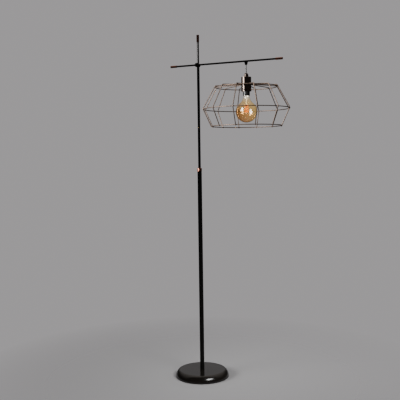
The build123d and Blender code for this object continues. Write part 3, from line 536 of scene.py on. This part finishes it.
PLAIN_FINISHES: tuple[Finish | GlassFinish, ...] = (
    Finish(
        Slot.BLACK_PAINT,
        (0.0052, 0.0048, 0.0044),
        (0.0085, 0.008, 0.0075),
        (0.26, 0.34),
        grain_scale=700.0,
        grain_depth=6e-6,
        worn=(0.03, 0.028, 0.026),
        wear=0.2,
        dust=0.02,
        specular=0.1,
    ),
    Finish(
        Slot.CAST_IRON,
        (0.12, 0.12, 0.12),
        (0.16, 0.11, 0.08),
        (0.6, 0.8),
        metallic=0.6,
        grain_scale=320.0,
        grain_depth=2e-4,
        wear=0.2,
    ),
    Finish(
        Slot.BLACK_PAD,
        (0.045, 0.045, 0.045),
        (0.07, 0.068, 0.065),
        (0.85, 0.98),
        grain_scale=1400.0,
        grain_depth=1.5e-4,
    ),
    Finish(
        Slot.ZINC_STEEL,
        (0.62, 0.62, 0.6),
        (0.48, 0.49, 0.5),
        (0.24, 0.42),
        metallic=1.0,
        drift_scale=60.0,
        wear=0.3,
        worn=(0.72, 0.72, 0.7),
    ),
    Finish(
        Slot.BLACK_NYLON,
        (0.03, 0.03, 0.03),
        (0.045, 0.044, 0.043),
        (0.45, 0.58),
        grain_scale=1600.0,
        grain_depth=1.5e-5,
        worn=(0.09, 0.09, 0.088),
    ),
    Finish(
        Slot.CABLE_JACKET,
        (0.04, 0.04, 0.04),
        (0.055, 0.054, 0.052),
        (0.4, 0.52),
        grain_depth=1e-5,
    ),
    Finish(
        Slot.PENDANT_CABLE,
        (0.045, 0.044, 0.043),
        (0.06, 0.058, 0.057),
        (0.55, 0.65),
        drift_scale=120.0,
        grain_depth=5e-6,
        specular=0.2,
    ),
    Finish(
        Slot.COPPER,
        (0.3, 0.12, 0.078),
        (0.2, 0.074, 0.048),
        (0.22, 0.3),
        metallic=1.0,
        drift=0.7,
        drift_scale=40.0,
        grain_scale=500.0,
        worn=(0.36, 0.19, 0.14),
        wear=0.2,
    ),
    Finish(
        Slot.BLACK_NICKEL,
        (0.165, 0.128, 0.108),
        (0.12, 0.092, 0.078),
        (0.07, 0.1),
        metallic=1.0,
        drift=0.6,
        drift_scale=30.0,
        grain_scale=400.0,
        grain_depth=5e-7,
        worn=(0.25, 0.2, 0.17),
        wear=0.08,
    ),
    Finish(
        Slot.BRONZE_WIRE,
        (0.15, 0.108, 0.084),
        (0.09, 0.062, 0.048),
        (0.48, 0.56),
        metallic=0.9,
        drift=0.8,
        drift_scale=45.0,
        grain_scale=600.0,
        grain_depth=4e-6,
        worn=(0.22, 0.165, 0.13),
        wear=0.15,
    ),
    Finish(
        Slot.BLACK_HOLDER,
        (0.012, 0.012, 0.012),
        (0.018, 0.018, 0.018),
        (0.2, 0.28),
        grain_depth=3e-6,
        worn=(0.04, 0.04, 0.04),
        specular=0.15,
    ),
    Finish(
        Slot.WHITE_CERAMIC,
        (0.85, 0.84, 0.8),
        (0.8, 0.78, 0.73),
        (0.15, 0.22),
        grain_depth=5e-6,
    ),
    Finish(
        Slot.CONTACT_BRASS,
        (0.75, 0.58, 0.3),
        (0.62, 0.46, 0.22),
        (0.28, 0.4),
        metallic=1.0,
        drift_scale=50.0,
        wear=0.3,
        worn=(0.85, 0.7, 0.42),
    ),
    Finish(
        Slot.BULB_CAP_METAL,
        (0.75, 0.74, 0.72),
        (0.64, 0.63, 0.61),
        (0.22, 0.34),
        metallic=1.0,
        drift_scale=50.0,
    ),
    Finish(
        Slot.BLACK_GLASS,
        (0.02, 0.02, 0.028),
        (0.03, 0.03, 0.035),
        (0.05, 0.09),
        coat=0.3,
    ),
    Finish(
        Slot.FRAME_WIRE,
        (0.6, 0.55, 0.48),
        (0.5, 0.45, 0.38),
        (0.25, 0.38),
        metallic=1.0,
        drift_scale=80.0,
    ),
    Finish(
        Slot.FILAMENT_COATING,
        (1.0, 0.3, 0.0),
        (0.95, 0.26, 0.0),
        (0.55, 0.7),
        drift_scale=220.0,
        grain_scale=1800.0,
        grain_depth=2e-5,
        worn=(1.0, 0.5, 0.1),
        wear=0.05,
        specular=0.0,
        glow=0.9,
    ),
    # The amber globe: painted shade on its lower left, painted light and a faint painted glow on its upper
    # right.
    GlassFinish(
        Slot.AMBER_GLASS,
        tint=(1.0, 0.82, 0.54),
        shaded_side_tint=(1.0, 0.7, 0.4),
        painted_glow_colour=(1.0, 0.72, 0.2),
        neck_tint_and_glow=(1.0, 0.95, 0.86),
        neck_z=1.29,
        body_z=1.268,
        lit_side_direction=(0.63, 0.307, 0.714),
        shade_full_at=0.992,
        light_full_at=1.046,
        roughness=(0.05, 0.065),
        index=1.7,
        ripple=2e-6,
        glow=0.05,
    ),
    # The clear stem: a painted glow all over it, paler at its top.
    GlassFinish(
        Slot.CLEAR_GLASS,
        tint=(0.95, 0.93, 0.88),
        shaded_side_tint=(0.94, 0.9, 0.84),
        painted_glow_colour=(0.95, 0.93, 0.88),
        neck_tint_and_glow=(0.96, 0.95, 0.92),
        neck_z=1.296,
        body_z=1.28,
        clearness=0.35,
        roughness=(0.08, 0.16),
        glow=0.25,
    ),
)
FINISHES = {finish.slot: finish for finish in PLAIN_FINISHES}
BRUSHED_NICKEL = Finish(
    Slot.BLACK_NICKEL,
    (0.12, 0.094, 0.08),
    (0.09, 0.07, 0.06),
    (0.34, 0.42),
    variant="brushed",
    metallic=1.0,
    drift_scale=30.0,
    grain_scale=400.0,
    grain_depth=1e-6,
    worn=(0.2, 0.165, 0.14),
)
BASE_ENAMEL = Finish(
    Slot.BLACK_PAINT,
    (0.0068, 0.0054, 0.0043),
    (0.0095, 0.0075, 0.006),
    (0.14, 0.18),
    variant="enamel",
    specular=0.4,
    grain_scale=500.0,
    grain_depth=3e-6,
    worn=(0.04, 0.037, 0.034),
    wear=0.15,
    dust=0.02,
)


# ------------------------------------------------------------------ making and dressing pieces
@dataclass
class SubAssembly:
    """Pieces of the lamp that belong together.

    Attributes:
        outfit: the CAD nodes that wear each slot's finish.
        variants: the nodes that wear another finish of their slot, where they differ from the rest.
    """

    outfit: ClassVar[Outfit] = {}
    variants: ClassVar[dict[str, Finish]] = {}

    def dress(self) -> None:
        """Give each of the CAD nodes its finish."""
        for slot, names in self.outfit.items():
            for name in names:
                material = self.variants.get(name, FINISHES[slot]).material()
                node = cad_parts[name]
                if not node.material_slots:
                    node.data.materials.append(material)
                for place in node.material_slots:
                    place.material = material


def put_in_scene(name: str, data: bpy.types.ID) -> bpy.types.Object:
    """Make an object and put it in the scene.

    Args:
        name: the object's name.
        data: its mesh, curve, camera or lamp.

    Returns:
        The new object.
    """
    made = bpy.data.objects.new(name, data)
    bpy.context.scene.collection.objects.link(made)
    return made


def finished_piece(name: str, shape: bmesh.types.BMesh, slot: Slot, body: Body) -> bpy.types.Object:
    """Turn a bmesh into a piece that rides on a body.

    Args:
        name: the piece's name.
        shape: its mesh, in metres in the lamp's own frame.
        slot: the record's slot whose finish it wears.
        body: the body that it moves with.

    Returns:
        The new object.
    """
    bmesh.ops.remove_doubles(shape, verts=shape.verts, dist=MERGE_GAP)
    bmesh.ops.recalc_face_normals(shape, faces=shape.faces)
    for face in shape.faces:
        face.smooth = True
    mesh = bpy.data.meshes.new(name)
    shape.to_mesh(mesh)
    shape.free()
    piece = put_in_scene(name, mesh)
    mesh.materials.append(FINISHES[slot].material())
    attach(piece, body.value)
    return piece


def spun(shape: bmesh.types.BMesh, profile: Profile, centre: Pair, steps: int) -> None:
    """Spin an open profile round a vertical axis into a turned surface.

    Args:
        shape: the bmesh that takes the surface.
        profile: radius and height of each of the profile's points, in metres.
        centre: the axis's x and y.
        steps: how many steps the full turn has.
    """
    points = [shape.verts.new((centre[0] + radius, centre[1], height)) for radius, height in profile]
    runs = [shape.edges.new(pair) for pair in zip(points, points[1:])]
    bmesh.ops.spin(
        shape,
        geom=points + runs,
        cent=(centre[0], centre[1], 0.0),
        axis=(0.0, 0.0, 1.0),
        angle=2 * pi,
        steps=steps,
        use_merge=True,
    )


# ------------------------------------------------------------------ the lamp
@dataclass
class WeightedBase(SubAssembly):
    """The round base: pressed steel shell, cast weight, pad, foot fixing and the cord's bushing."""

    outfit: ClassVar[Outfit] = {
        Slot.BLACK_PAINT: ("base_shell",),
        Slot.CAST_IRON: ("base_weight",),
        Slot.BLACK_PAD: ("base_pad",),
        Slot.ZINC_STEEL: ("foot_washer", "foot_nut", "foot_stud", "foot_plug"),
        Slot.BLACK_NYLON: ("cord_bushing",),
        Slot.CABLE_JACKET: ("lower_lead",),
    }
    variants: ClassVar[dict[str, Finish]] = {"base_shell": BASE_ENAMEL}


@dataclass
class Pole(SubAssembly):
    """The two telescoping tubes, the collar at their step and the rod with its cap above the knuckle."""

    outfit: ClassVar[Outfit] = {
        Slot.BLACK_PAINT: ("lower_tube", "upper_tube", "top_rod"),
        Slot.COPPER: ("pole_collar", "top_cap"),
        Slot.BLACK_NYLON: ("slide_bush", "guide_ring"),
        Slot.ZINC_STEEL: ("guide_clips",),
        Slot.CABLE_JACKET: ("upper_lead",),
    }


@dataclass
class Knuckle(SubAssembly):
    """The hollow swivel knuckle that carries the arm."""

    outfit: ClassVar[Outfit] = {
        Slot.BLACK_PAINT: ("pole_head", "knuckle_cap", "arm_hub"),
        Slot.ZINC_STEEL: ("pivot_stud", "pivot_nut"),
        Slot.BLACK_NYLON: ("friction_washer",),
    }


@dataclass
class CrossArm(SubAssembly):
    """The thin arm with its copper tips and the gland that the pendant hangs from."""

    outfit: ClassVar[Outfit] = {
        Slot.BLACK_PAINT: ("arm_long", "arm_short", "arm_gland"),
        Slot.COPPER: ("arm_tip_long", "arm_tip_short"),
        Slot.CABLE_JACKET: ("arm_lead",),
    }


@dataclass
class PendantCord:
    """The short round cord between the gland and the grip, hanging straight.

    Attributes:
        centre: the pendant's x and y.
        top: the height where it bends inside the gland's mouth.
        bottom: the height where it bends inside the grip's mouth.
        diameter: the cord's diameter.
        spans: how many equal spans its line has.
        smoothness: how finely its line and its round are divided.
        order: the order of its line's spline.
    """

    centre: Pair = PENDANT
    top: float = 1430.8 * MM
    bottom: float = 1393.8 * MM
    diameter: float = 5 * MM
    spans: int = 5
    smoothness: int = 6
    order: int = 3

    def build(self) -> bpy.types.Object:
        """Make the cord as a smooth curve that stands for its CAD solid.

        Returns:
            The cord's object.
        """
        curve = bpy.data.curves.new("pendant_cord_line", "CURVE")
        curve.dimensions = "3D"
        curve.bevel_depth = self.diameter / 2
        curve.bevel_resolution = self.smoothness
        curve.use_fill_caps = True
        spline = curve.splines.new("NURBS")
        spline.points.add(self.spans)
        for step, point in enumerate(spline.points):
            point.co = (*self.centre, self.top + (self.bottom - self.top) * step / self.spans, 1.0)
        spline.order_u = self.order
        spline.use_endpoint_u = True
        spline.resolution_u = self.smoothness
        cord = put_in_scene("pendant_cord_line", curve)
        curve.materials.append(FINISHES[Slot.PENDANT_CABLE].material())
        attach(cord, Body.PENDANT_CABLE.value)
        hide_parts("pendant_cord")
        return cord


@dataclass
class PlatedCup(SubAssembly):
    """The plated cup in two halves and the cord grip on top of it."""

    outfit: ClassVar[Outfit] = {
        Slot.BLACK_NICKEL: ("cup_upper", "cup_lower", "cord_grip"),
        Slot.ZINC_STEEL: ("head_nipple", "nipple_nut"),
        Slot.CABLE_JACKET: ("head_lead",),
    }
    variants: ClassVar[dict[str, Finish]] = {"cord_grip": BRUSHED_NICKEL}


@dataclass
class Lampholder(SubAssembly):
    """The black lampholder with its ceramic core, screw sleeve and contacts."""

    outfit: ClassVar[Outfit] = {
        Slot.BLACK_HOLDER: ("holder_cap", "holder_body"),
        Slot.WHITE_CERAMIC: ("holder_core",),
        Slot.CONTACT_BRASS: ("screw_sleeve", "centre_contact", "terminal_screws"),
    }


@dataclass
class GlobeBulb(SubAssembly):
    """The amber globe bulb with its stem and filament rods.

    Attributes:
        centre: the pendant's x and y.
        globe_r: the globe's radius.
        globe_z: the height of the globe's middle.
        neck_r: the neck's radius.
        neck_top: the height of the neck's rim.
        neck_angle: where the neck meets the globe, from its top.
        neck_pull: how far the neck keeps its own direction, as a share of its length.
        globe_pull: how far the neck follows the globe's direction, as a share of its length.
        neck_steps: how many steps the neck's profile has.
        globe_steps: how many steps the globe's profile has.
        turn_steps: how many steps the glass has round its axis.
        wall: the glass's thickness.
        filament_circle: the radius of the circle that the rods stand on.
        filament_r: a rod's radius.
        rod_ends: the heights of the rods' two ends.
        rods: how many rods there are.
        cap_length: the length of the cap on a rod's end.
        cap_lip: how far the cap stands proud of the rod.
        cap_edge: how far the cap's rims are rounded.
        cap_edge_steps: how many steps a rounded rim has.
        cap_sides: how many sides the cap has.
    """

    outfit: ClassVar[Outfit] = {
        Slot.BULB_CAP_METAL: ("bulb_cap",),
        Slot.BLACK_GLASS: ("bulb_insulator",),
        Slot.CONTACT_BRASS: ("bulb_contact",),
        Slot.AMBER_GLASS: ("bulb_glass",),
        Slot.CLEAR_GLASS: ("bulb_stem",),
        Slot.FRAME_WIRE: ("filament_frame",),
        Slot.FILAMENT_COATING: ("filaments",),
    }
    centre: Pair = PENDANT
    globe_r: float = 47.5 * MM
    globe_z: float = 1225.5 * MM
    neck_r: float = 13.5 * MM
    neck_top: float = 1296.5 * MM
    neck_angle: float = radians(42.0)
    neck_pull: float = 0.42
    globe_pull: float = 0.36
    neck_steps: int = 20
    globe_steps: int = 48
    turn_steps: int = 96
    wall: float = 1.2 * MM
    filament_circle: float = 7.5 * MM
    filament_r: float = 1.1 * MM
    rod_ends: Pair = (1256.7 * MM, 1218.7 * MM)
    rods: int = 6
    cap_length: float = 2.4 * MM
    cap_lip: float = 0.15 * MM
    cap_edge: float = 0.2 * MM
    cap_edge_steps: int = 2
    cap_sides: int = 16

    def outline(self) -> Profile:
        """Draw the glass's outer profile, from the neck's rim down to the lowest point.

        Returns:
            The radius and height of each of its points.
        """
        meet = Vector((sin(self.neck_angle), cos(self.neck_angle))) * self.globe_r
        meet += Vector((0.0, self.globe_z))
        start = Vector((self.neck_r, self.neck_top))
        reach = (start - meet).length
        handle_in = start - Vector((0.0, reach * self.neck_pull))
        handle_out = meet - Vector((cos(self.neck_angle), -sin(self.neck_angle))) * reach * self.globe_pull
        points: Profile = []
        for step in range(self.neck_steps + 1):
            t = step / self.neck_steps
            point = (
                start * (1 - t) ** 3
                + handle_in * 3 * t * (1 - t) ** 2
                + handle_out * 3 * t**2 * (1 - t)
                + meet * t**3
            )
            points.append((point.x, point.y))
        for step in range(1, self.globe_steps + 1):
            angle = self.neck_angle + (pi - self.neck_angle) * step / self.globe_steps
            points.append((self.globe_r * sin(angle), self.globe_z + self.globe_r * cos(angle)))
        return points

    def build(self) -> bpy.types.Object:
        """Blow the glass globe that stands for its CAD solid.

        Returns:
            The globe's object.
        """
        shape = bmesh.new()
        spun(shape, self.outline(), self.centre, self.turn_steps)
        globe = finished_piece("blown_globe", shape, Slot.AMBER_GLASS, Body.LAMP_HEAD)
        wall = globe.modifiers.new("glass_wall", "SOLIDIFY")
        wall.thickness = self.wall
        wall.offset = -1.0
        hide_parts("bulb_glass")
        return globe

    def build_rod_caps(self) -> bpy.types.Object:
        """Put a small metal cap on each end of each filament rod.

        Returns:
            The caps' object.
        """
        shape = bmesh.new()
        radius = self.filament_r + self.cap_lip
        for number in range(self.rods):
            turn = 2 * pi * number / self.rods
            x = self.centre[0] + self.filament_circle * cos(turn)
            y = self.centre[1] + self.filament_circle * sin(turn)
            for end, inward in zip(self.rod_ends, (-1.0, 1.0)):
                made = bmesh.ops.create_cone(
                    shape,
                    cap_ends=True,
                    segments=self.cap_sides,
                    radius1=radius,
                    radius2=radius,
                    depth=self.cap_length,
                    matrix=Matrix.Translation((x, y, end + inward * self.cap_length / 2)),
                )
                edges = {edge for vert in made["verts"] for edge in vert.link_edges}
                rises = {edge: abs((edge.verts[0].co - edge.verts[1].co).z) for edge in edges}
                bmesh.ops.bevel(
                    shape,
                    geom=[edge for edge, rise in rises.items() if rise < LEVEL_GAP],
                    offset=self.cap_edge,
                    affect="EDGES",
                    segments=self.cap_edge_steps,
                    profile=0.5,
                    material=-1,
                )
        return finished_piece("filament_caps", shape, Slot.FRAME_WIRE, Body.LAMP_HEAD)


@dataclass
class WireCage(SubAssembly):
    """The bent ribs, the ring wires, the hub and the weld at each crossing.

    Attributes:
        centre: the pendant's x and y.
        ribs: how many ribs there are.
        turn: the angle of the first rib from the arm's direction.
        wire_r: the wire's radius.
        corners: radius and height of a rib's corners, from its root at the hub down to its lower end.
        bend_r: the radius of the rib's middle line in a bend.
        weld_gap: the gap between a rib and a ring, which the weld fills.
        bead: half the size of a weld bead outward, along the ring and along the rib.
        bead_play: how much the beads differ in length.
        bead_phase: how fast that difference changes from rib to rib, in radians.
        root_bead: half the size of the bead at a rib's root.
        root_offset: how far that bead's middle lies outside the rib's root.
        bead_fineness: how often the ball that a bead is drawn from is divided.
    """

    outfit: ClassVar[Outfit] = {
        Slot.BRONZE_WIRE: ("cage_hub", "cage_ribs", "cage_top_ring", "cage_waist_ring", "cage_bottom_ring"),
    }
    centre: Pair = PENDANT
    ribs: int = 12
    turn: float = radians(5.0)
    wire_r: float = 2 * MM
    corners: tuple[Pair, ...] = (
        (23.5 * MM, 1346.0 * MM),
        (139.0 * MM, 1338.5 * MM),
        (195.0 * MM, 1239.0 * MM),
        (158.5 * MM, 1159.5 * MM),
    )
    bend_r: float = 6 * MM
    weld_gap: float = 0.05 * MM
    bead: Point = (1.0 * MM, 2.5 * MM, 1.9 * MM)
    bead_play: float = 0.2 * MM
    bead_phase: float = 2.4
    root_bead: Point = (1.1 * MM, 2.7 * MM, 2.6 * MM)
    root_offset: float = 0.3 * MM
    bead_fineness: int = 2

    def seats(self) -> list[tuple[Vector, Vector]]:
        """Find where each ring touches a rib.

        Returns:
            For each ring, the point between ring and rib, and the direction from ring to rib.
        """
        found: list[tuple[Vector, Vector]] = []
        points = [Vector(corner) for corner in self.corners]
        to_seat = self.wire_r + self.weld_gap / 2
        for before, corner, after in (points[0:3], points[1:4]):
            back = (before - corner).normalized()
            onward = (after - corner).normalized()
            inward = (back + onward).normalized()
            half_turn = (pi - back.angle(onward)) / 2
            rib_middle = corner + inward * (self.bend_r / cos(half_turn) - self.bend_r)
            found.append((rib_middle + inward * to_seat, -inward))
        run = (points[3] - points[2]).normalized()
        inward = Vector((run.y, -run.x))
        rib_middle = points[3] - run * self.wire_r
        found.append((rib_middle + inward * to_seat, -inward))
        return found

    def build_welds(self) -> bpy.types.Object:
        """Lay a small drawn-out weld bead at each crossing of a ring and a rib, and at each rib's root.

        Returns:
            The welds' object.
        """
        shape = bmesh.new()
        root = Matrix.Translation((self.corners[0][0] + self.root_offset, 0.0, self.corners[0][1]))
        root @= Matrix.Diagonal((*self.root_bead, 1.0))
        out, along_ring, along_rib = self.bead
        for number in range(self.ribs):
            around = Matrix.Rotation(self.turn + 2 * pi * number / self.ribs, 4, "Z")
            around = Matrix.Translation((*self.centre, 0.0)) @ around
            places: list[Matrix] = []
            for rank, (seat, outward) in enumerate(self.seats()):
                lean = Matrix.Rotation(-atan2(outward.y, outward.x), 4, "Y")
                length = along_rib + self.bead_play * sin(number * self.bead_phase + rank)
                size = Matrix.Diagonal((out, along_ring, length, 1.0))
                places.append(Matrix.Translation((seat.x, 0.0, seat.y)) @ lean @ size)
            for place in (*places, root):
                bmesh.ops.create_icosphere(
                    shape, subdivisions=self.bead_fineness, radius=1.0, matrix=around @ place
                )
        return finished_piece("cage_welds", shape, Slot.BRONZE_WIRE, Body.LAMP_HEAD)


# ------------------------------------------------------------------ studio
CUP_AND_GRIP: Names = ("cup_upper", "cup_lower", "cord_grip")
CAGE_WIRES: Names = ("cage_ribs", "cage_top_ring", "cage_waist_ring", "cage_bottom_ring", "cage_welds")
GLOBE: Names = ("blown_globe",)
KEPT_DARK: Names = (
    "base_shell",
    "lower_tube",
    "upper_tube",
    "top_cap",
    "pole_head",
    "knuckle_cap",
    "arm_hub",
    "arm_gland",
    "arm_short",
    "arm_long",
    "arm_tip_short",
    "arm_tip_long",
    "filaments",
)


def round_pole(azimuth: float, distance: float, height: float) -> Vector:
    """A point round the pole, by its direction from -Y towards +X, its distance and its height."""
    return Vector((sin(azimuth) * distance, -cos(azimuth) * distance, height))


@dataclass(frozen=True)
class Softbox:
    """A soft studio lamp.

    Attributes:
        name: the lamp's name.
        azimuth: its direction from the pole, in degrees to the right of the camera's.
        height: the height of its middle.
        size: its width and height.
        power: its power in watts.
        aim: the height on the pole that it points at.
        distance: how far it stands from the pole.
        grid: the full angle that its grid lets through, in degrees, or 180 where it has none.
        shaded: the pieces that its flags keep it off.
        only: the pieces that it lights, or none where it lights them all.
    """

    name: str
    azimuth: float
    height: float
    size: Pair
    power: float
    aim: float
    distance: float = 2.5
    grid: float = 180.0
    shaded: Names = ()
    only: Names = ()


SOFTBOXES: tuple[Softbox, ...] = (
    Softbox(
        "key_softbox",
        azimuth=-62.0,
        height=2.1,
        size=(1.45, 2.2),
        power=60.0,
        aim=1.75,
        grid=56.0,
        shaded=KEPT_DARK + CUP_AND_GRIP + GLOBE + CAGE_WIRES,
    ),
    Softbox(
        "strip_softbox",
        azimuth=-68.0,
        height=2.1,
        size=(1.2, 2.4),
        power=165.0,
        aim=1.35,
        only=CUP_AND_GRIP,
    ),
    Softbox(
        "cage_softbox",
        azimuth=-62.0,
        height=2.1,
        size=(1.45, 2.2),
        power=330.0,
        aim=1.25,
        only=CAGE_WIRES,
    ),
    Softbox(
        "left_globe_softbox",
        azimuth=-52.0,
        height=2.15,
        size=(1.3, 1.7),
        power=150.0,
        aim=1.23,
        only=GLOBE,
    ),
    Softbox(
        "right_globe_softbox",
        azimuth=45.0,
        height=1.17,
        size=(1.1, 1.8),
        power=130.0,
        aim=1.23,
        only=GLOBE,
    ),
    Softbox(
        "fill_softbox",
        azimuth=35.0,
        height=1.93,
        size=(1.6, 0.5),
        power=3.6,
        aim=0.0,
        distance=2.6,
        grid=32.0,
    ),
)


@dataclass
class Studio:
    """The camera, the pale floor, the plain backdrop and the soft lamps.

    Attributes:
        azimuth: the camera's direction from the pole, from -Y towards +X.
        distance: the camera's distance from the pole's axis.
        height: the camera's height.
        pitch: how far it looks down.
        roll: how far the picture is turned.
        lens: the focal length, in millimetres.
        sensor: the sensor's width, in millimetres.
        backdrop: the backdrop's colour.
        front: what the dark side of the studio gives to a reflection.
        overhead: what the ceiling panel gives to a reflection.
        fill: what the whole studio gives to a matt surface.
        behind: how far a gaze goes away from the camera where the backdrop begins and is full.
        raised: how far a gaze rises where the backdrop's reflection begins and is full.
        ceiling: how far a gaze rises where the ceiling panel begins and is full.
        ceiling_front: how far it goes away from the camera where the ceiling panel begins and is full.
        floor_colour: the floor's colour.
        floor_roughness: how dull it is.
        floor_r: the floor's radius.
        floor_sides: how many sides it has.
        floor_fade: how far from the pole the floor begins to fade and is gone.
        floor_gap: how far the floor lies below the base, so that the two don't cross.
        softboxes: the soft lamps.
    """

    azimuth: float = radians(25.96)
    distance: float = 3.1292
    height: float = 1.02665
    pitch: float = radians(3.603)
    roll: float = radians(-0.795)
    lens: float = 60.88
    sensor: float = 36.0
    backdrop: Colour = (0.362, 0.3505, 0.357)
    front: Colour = (0.045, 0.043, 0.042)
    overhead: Colour = (1.0, 0.92, 0.85)
    fill: Colour = (0.3, 0.3, 0.3)
    behind: Pair = (0.84, 0.97)
    raised: Pair = (0.1, 0.25)
    ceiling: Pair = (0.3, 0.95)
    ceiling_front: Pair = (-0.3, -0.1)
    floor_colour: Colour = (0.37, 0.3615, 0.366)
    floor_roughness: float = 0.9
    floor_r: float = 1.4
    floor_sides: int = 96
    floor_fade: Pair = (0.2, 1.2)
    floor_gap: float = 0.4 * MM
    softboxes: tuple[Softbox, ...] = SOFTBOXES

    def build_camera(self) -> bpy.types.Object:
        """Set the camera up where the photograph was taken.

        Returns:
            The camera's object.
        """
        data = bpy.data.cameras.new("photo_camera")
        data.sensor_width = self.sensor
        data.lens = self.lens
        camera = put_in_scene("photo_camera", data)
        camera.location = round_pole(self.azimuth, self.distance, self.height)
        level = Euler((pi / 2 - self.pitch, 0.0, self.azimuth)).to_matrix()
        camera.rotation_euler = (level @ Matrix.Rotation(self.roll, 3, "Z")).to_euler()
        bpy.context.scene.camera = camera
        return camera

    def build_softboxes(self) -> None:
        """Hang the soft lamps round the lamp."""
        for box in self.softboxes:
            data = bpy.data.lights.new(box.name, "AREA")
            data.shape = "RECTANGLE"
            data.size, data.size_y = box.size
            data.energy = box.power
            data.spread = radians(box.grid)
            lamp = put_in_scene(box.name, data)
            lamp.location = round_pole(self.azimuth + radians(box.azimuth), box.distance, box.height)
            gaze = Vector((0.0, 0.0, box.aim)) - lamp.location
            lamp.rotation_euler = gaze.to_track_quat("-Z", "Y").to_euler()
            if box.shaded or box.only:
                flagged = bpy.data.collections.new(f"{box.name}_flags")
                for name in box.shaded or box.only:
                    flagged.objects.link(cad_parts.get(name) or bpy.data.objects[name])
                for item in flagged.collection_objects:
                    item.light_linking.link_state = "EXCLUDE" if box.shaded else "INCLUDE"
                lamp.light_linking.receiver_collection = flagged

    def build_world(self) -> None:
        """Make the backdrop that the camera, metal and glass see, and a plain fill for matt surfaces."""
        world = bpy.data.worlds.new("studio")
        bpy.context.scene.world = world
        world.use_nodes = True
        tree = world.node_tree
        shader = tree.nodes["Background"]
        gaze = tree.nodes.new("ShaderNodeTexCoord").outputs["Generated"]
        away = along(tree, gaze, (-sin(self.azimuth), cos(self.azimuth), 0.0))
        rise = upward(tree, gaze)
        behind = spread(tree, away, *self.behind)
        through = blend_colours(tree, behind, self.front, self.backdrop)
        raised = times(tree, behind, spread(tree, rise, *self.raised))
        level = blend_colours(tree, raised, self.front, self.backdrop)
        above = times(tree, spread(tree, rise, *self.ceiling), spread(tree, away, *self.ceiling_front))
        reflected = blend_colours(tree, above, level, self.overhead)
        path = tree.nodes.new("ShaderNodeLightPath")
        seen = blend_colours(tree, path.outputs["Is Glossy Ray"], self.fill, reflected)
        seen = blend_colours(tree, path.outputs["Is Transmission Ray"], seen, through)
        seen = blend_colours(tree, path.outputs["Is Camera Ray"], seen, self.backdrop)
        tree.links.new(seen, shader.inputs["Color"])
        shader.inputs["Strength"].default_value = 1.0

    def build_floor(self) -> bpy.types.Object:
        """Lay the pale floor, which fades into the backdrop away from the base.

        Returns:
            The floor's object.
        """
        shape = bmesh.new()
        below = Matrix.Translation((0.0, 0.0, -self.floor_gap))
        bmesh.ops.create_circle(
            shape, cap_ends=True, segments=self.floor_sides, radius=self.floor_r, matrix=below
        )
        mesh = bpy.data.meshes.new("studio_floor")
        shape.to_mesh(mesh)
        shape.free()
        floor = put_in_scene("studio_floor", mesh)
        material, tree, shader = new_material("studio_floor")
        place = tree.nodes.new("ShaderNodeTexCoord")
        far = tree.nodes.new("ShaderNodeVectorMath")
        far.operation = "LENGTH"
        tree.links.new(place.outputs["Object"], far.inputs[0])
        cover = spread(tree, far.outputs["Value"], *self.floor_fade, low=1.0, high=0.0)
        tree.links.new(cover, shader.inputs["Alpha"])
        shader.inputs["Base Color"].default_value = (*self.floor_colour, 1.0)
        shader.inputs["Roughness"].default_value = self.floor_roughness
        shader.inputs["Specular IOR Level"].default_value = 0.0
        mesh.materials.append(material)
        return floor

    def build(self) -> None:
        """Build the studio, apart from the lamps, which need the pieces that they light."""
        self.build_camera()
        self.build_world()
        self.build_floor()


def main() -> None:
    """Build the studio and each sub-assembly in order, and report each one."""
    logging.basicConfig(level=logging.INFO, format="%(name)s: %(message)s")
    studio = Studio()
    studio.build()
    LOG.info("studio and camera are in place")
    cord = PendantCord()
    cord.build()
    LOG.info("pendant cord hangs %.0f mm long", (cord.top - cord.bottom) / MM)
    bulb = GlobeBulb()
    cage = WireCage()
    steps: tuple[tuple[str, Callable[[], object]], ...] = (
        ("weighted base", WeightedBase().dress),
        ("pole", Pole().dress),
        ("knuckle", Knuckle().dress),
        ("cross arm", CrossArm().dress),
        ("plated cup", PlatedCup().dress),
        ("lampholder", Lampholder().dress),
        ("bulb's inner pieces", bulb.dress),
        ("blown globe", bulb.build),
        ("filament caps", bulb.build_rod_caps),
        ("cage wires", cage.dress),
        ("cage welds", cage.build_welds),
        ("soft lamps", studio.build_softboxes),
    )
    for label, step in steps:
        step()
        LOG.info("%s done", label)


if __name__ == "__main__":
    main()
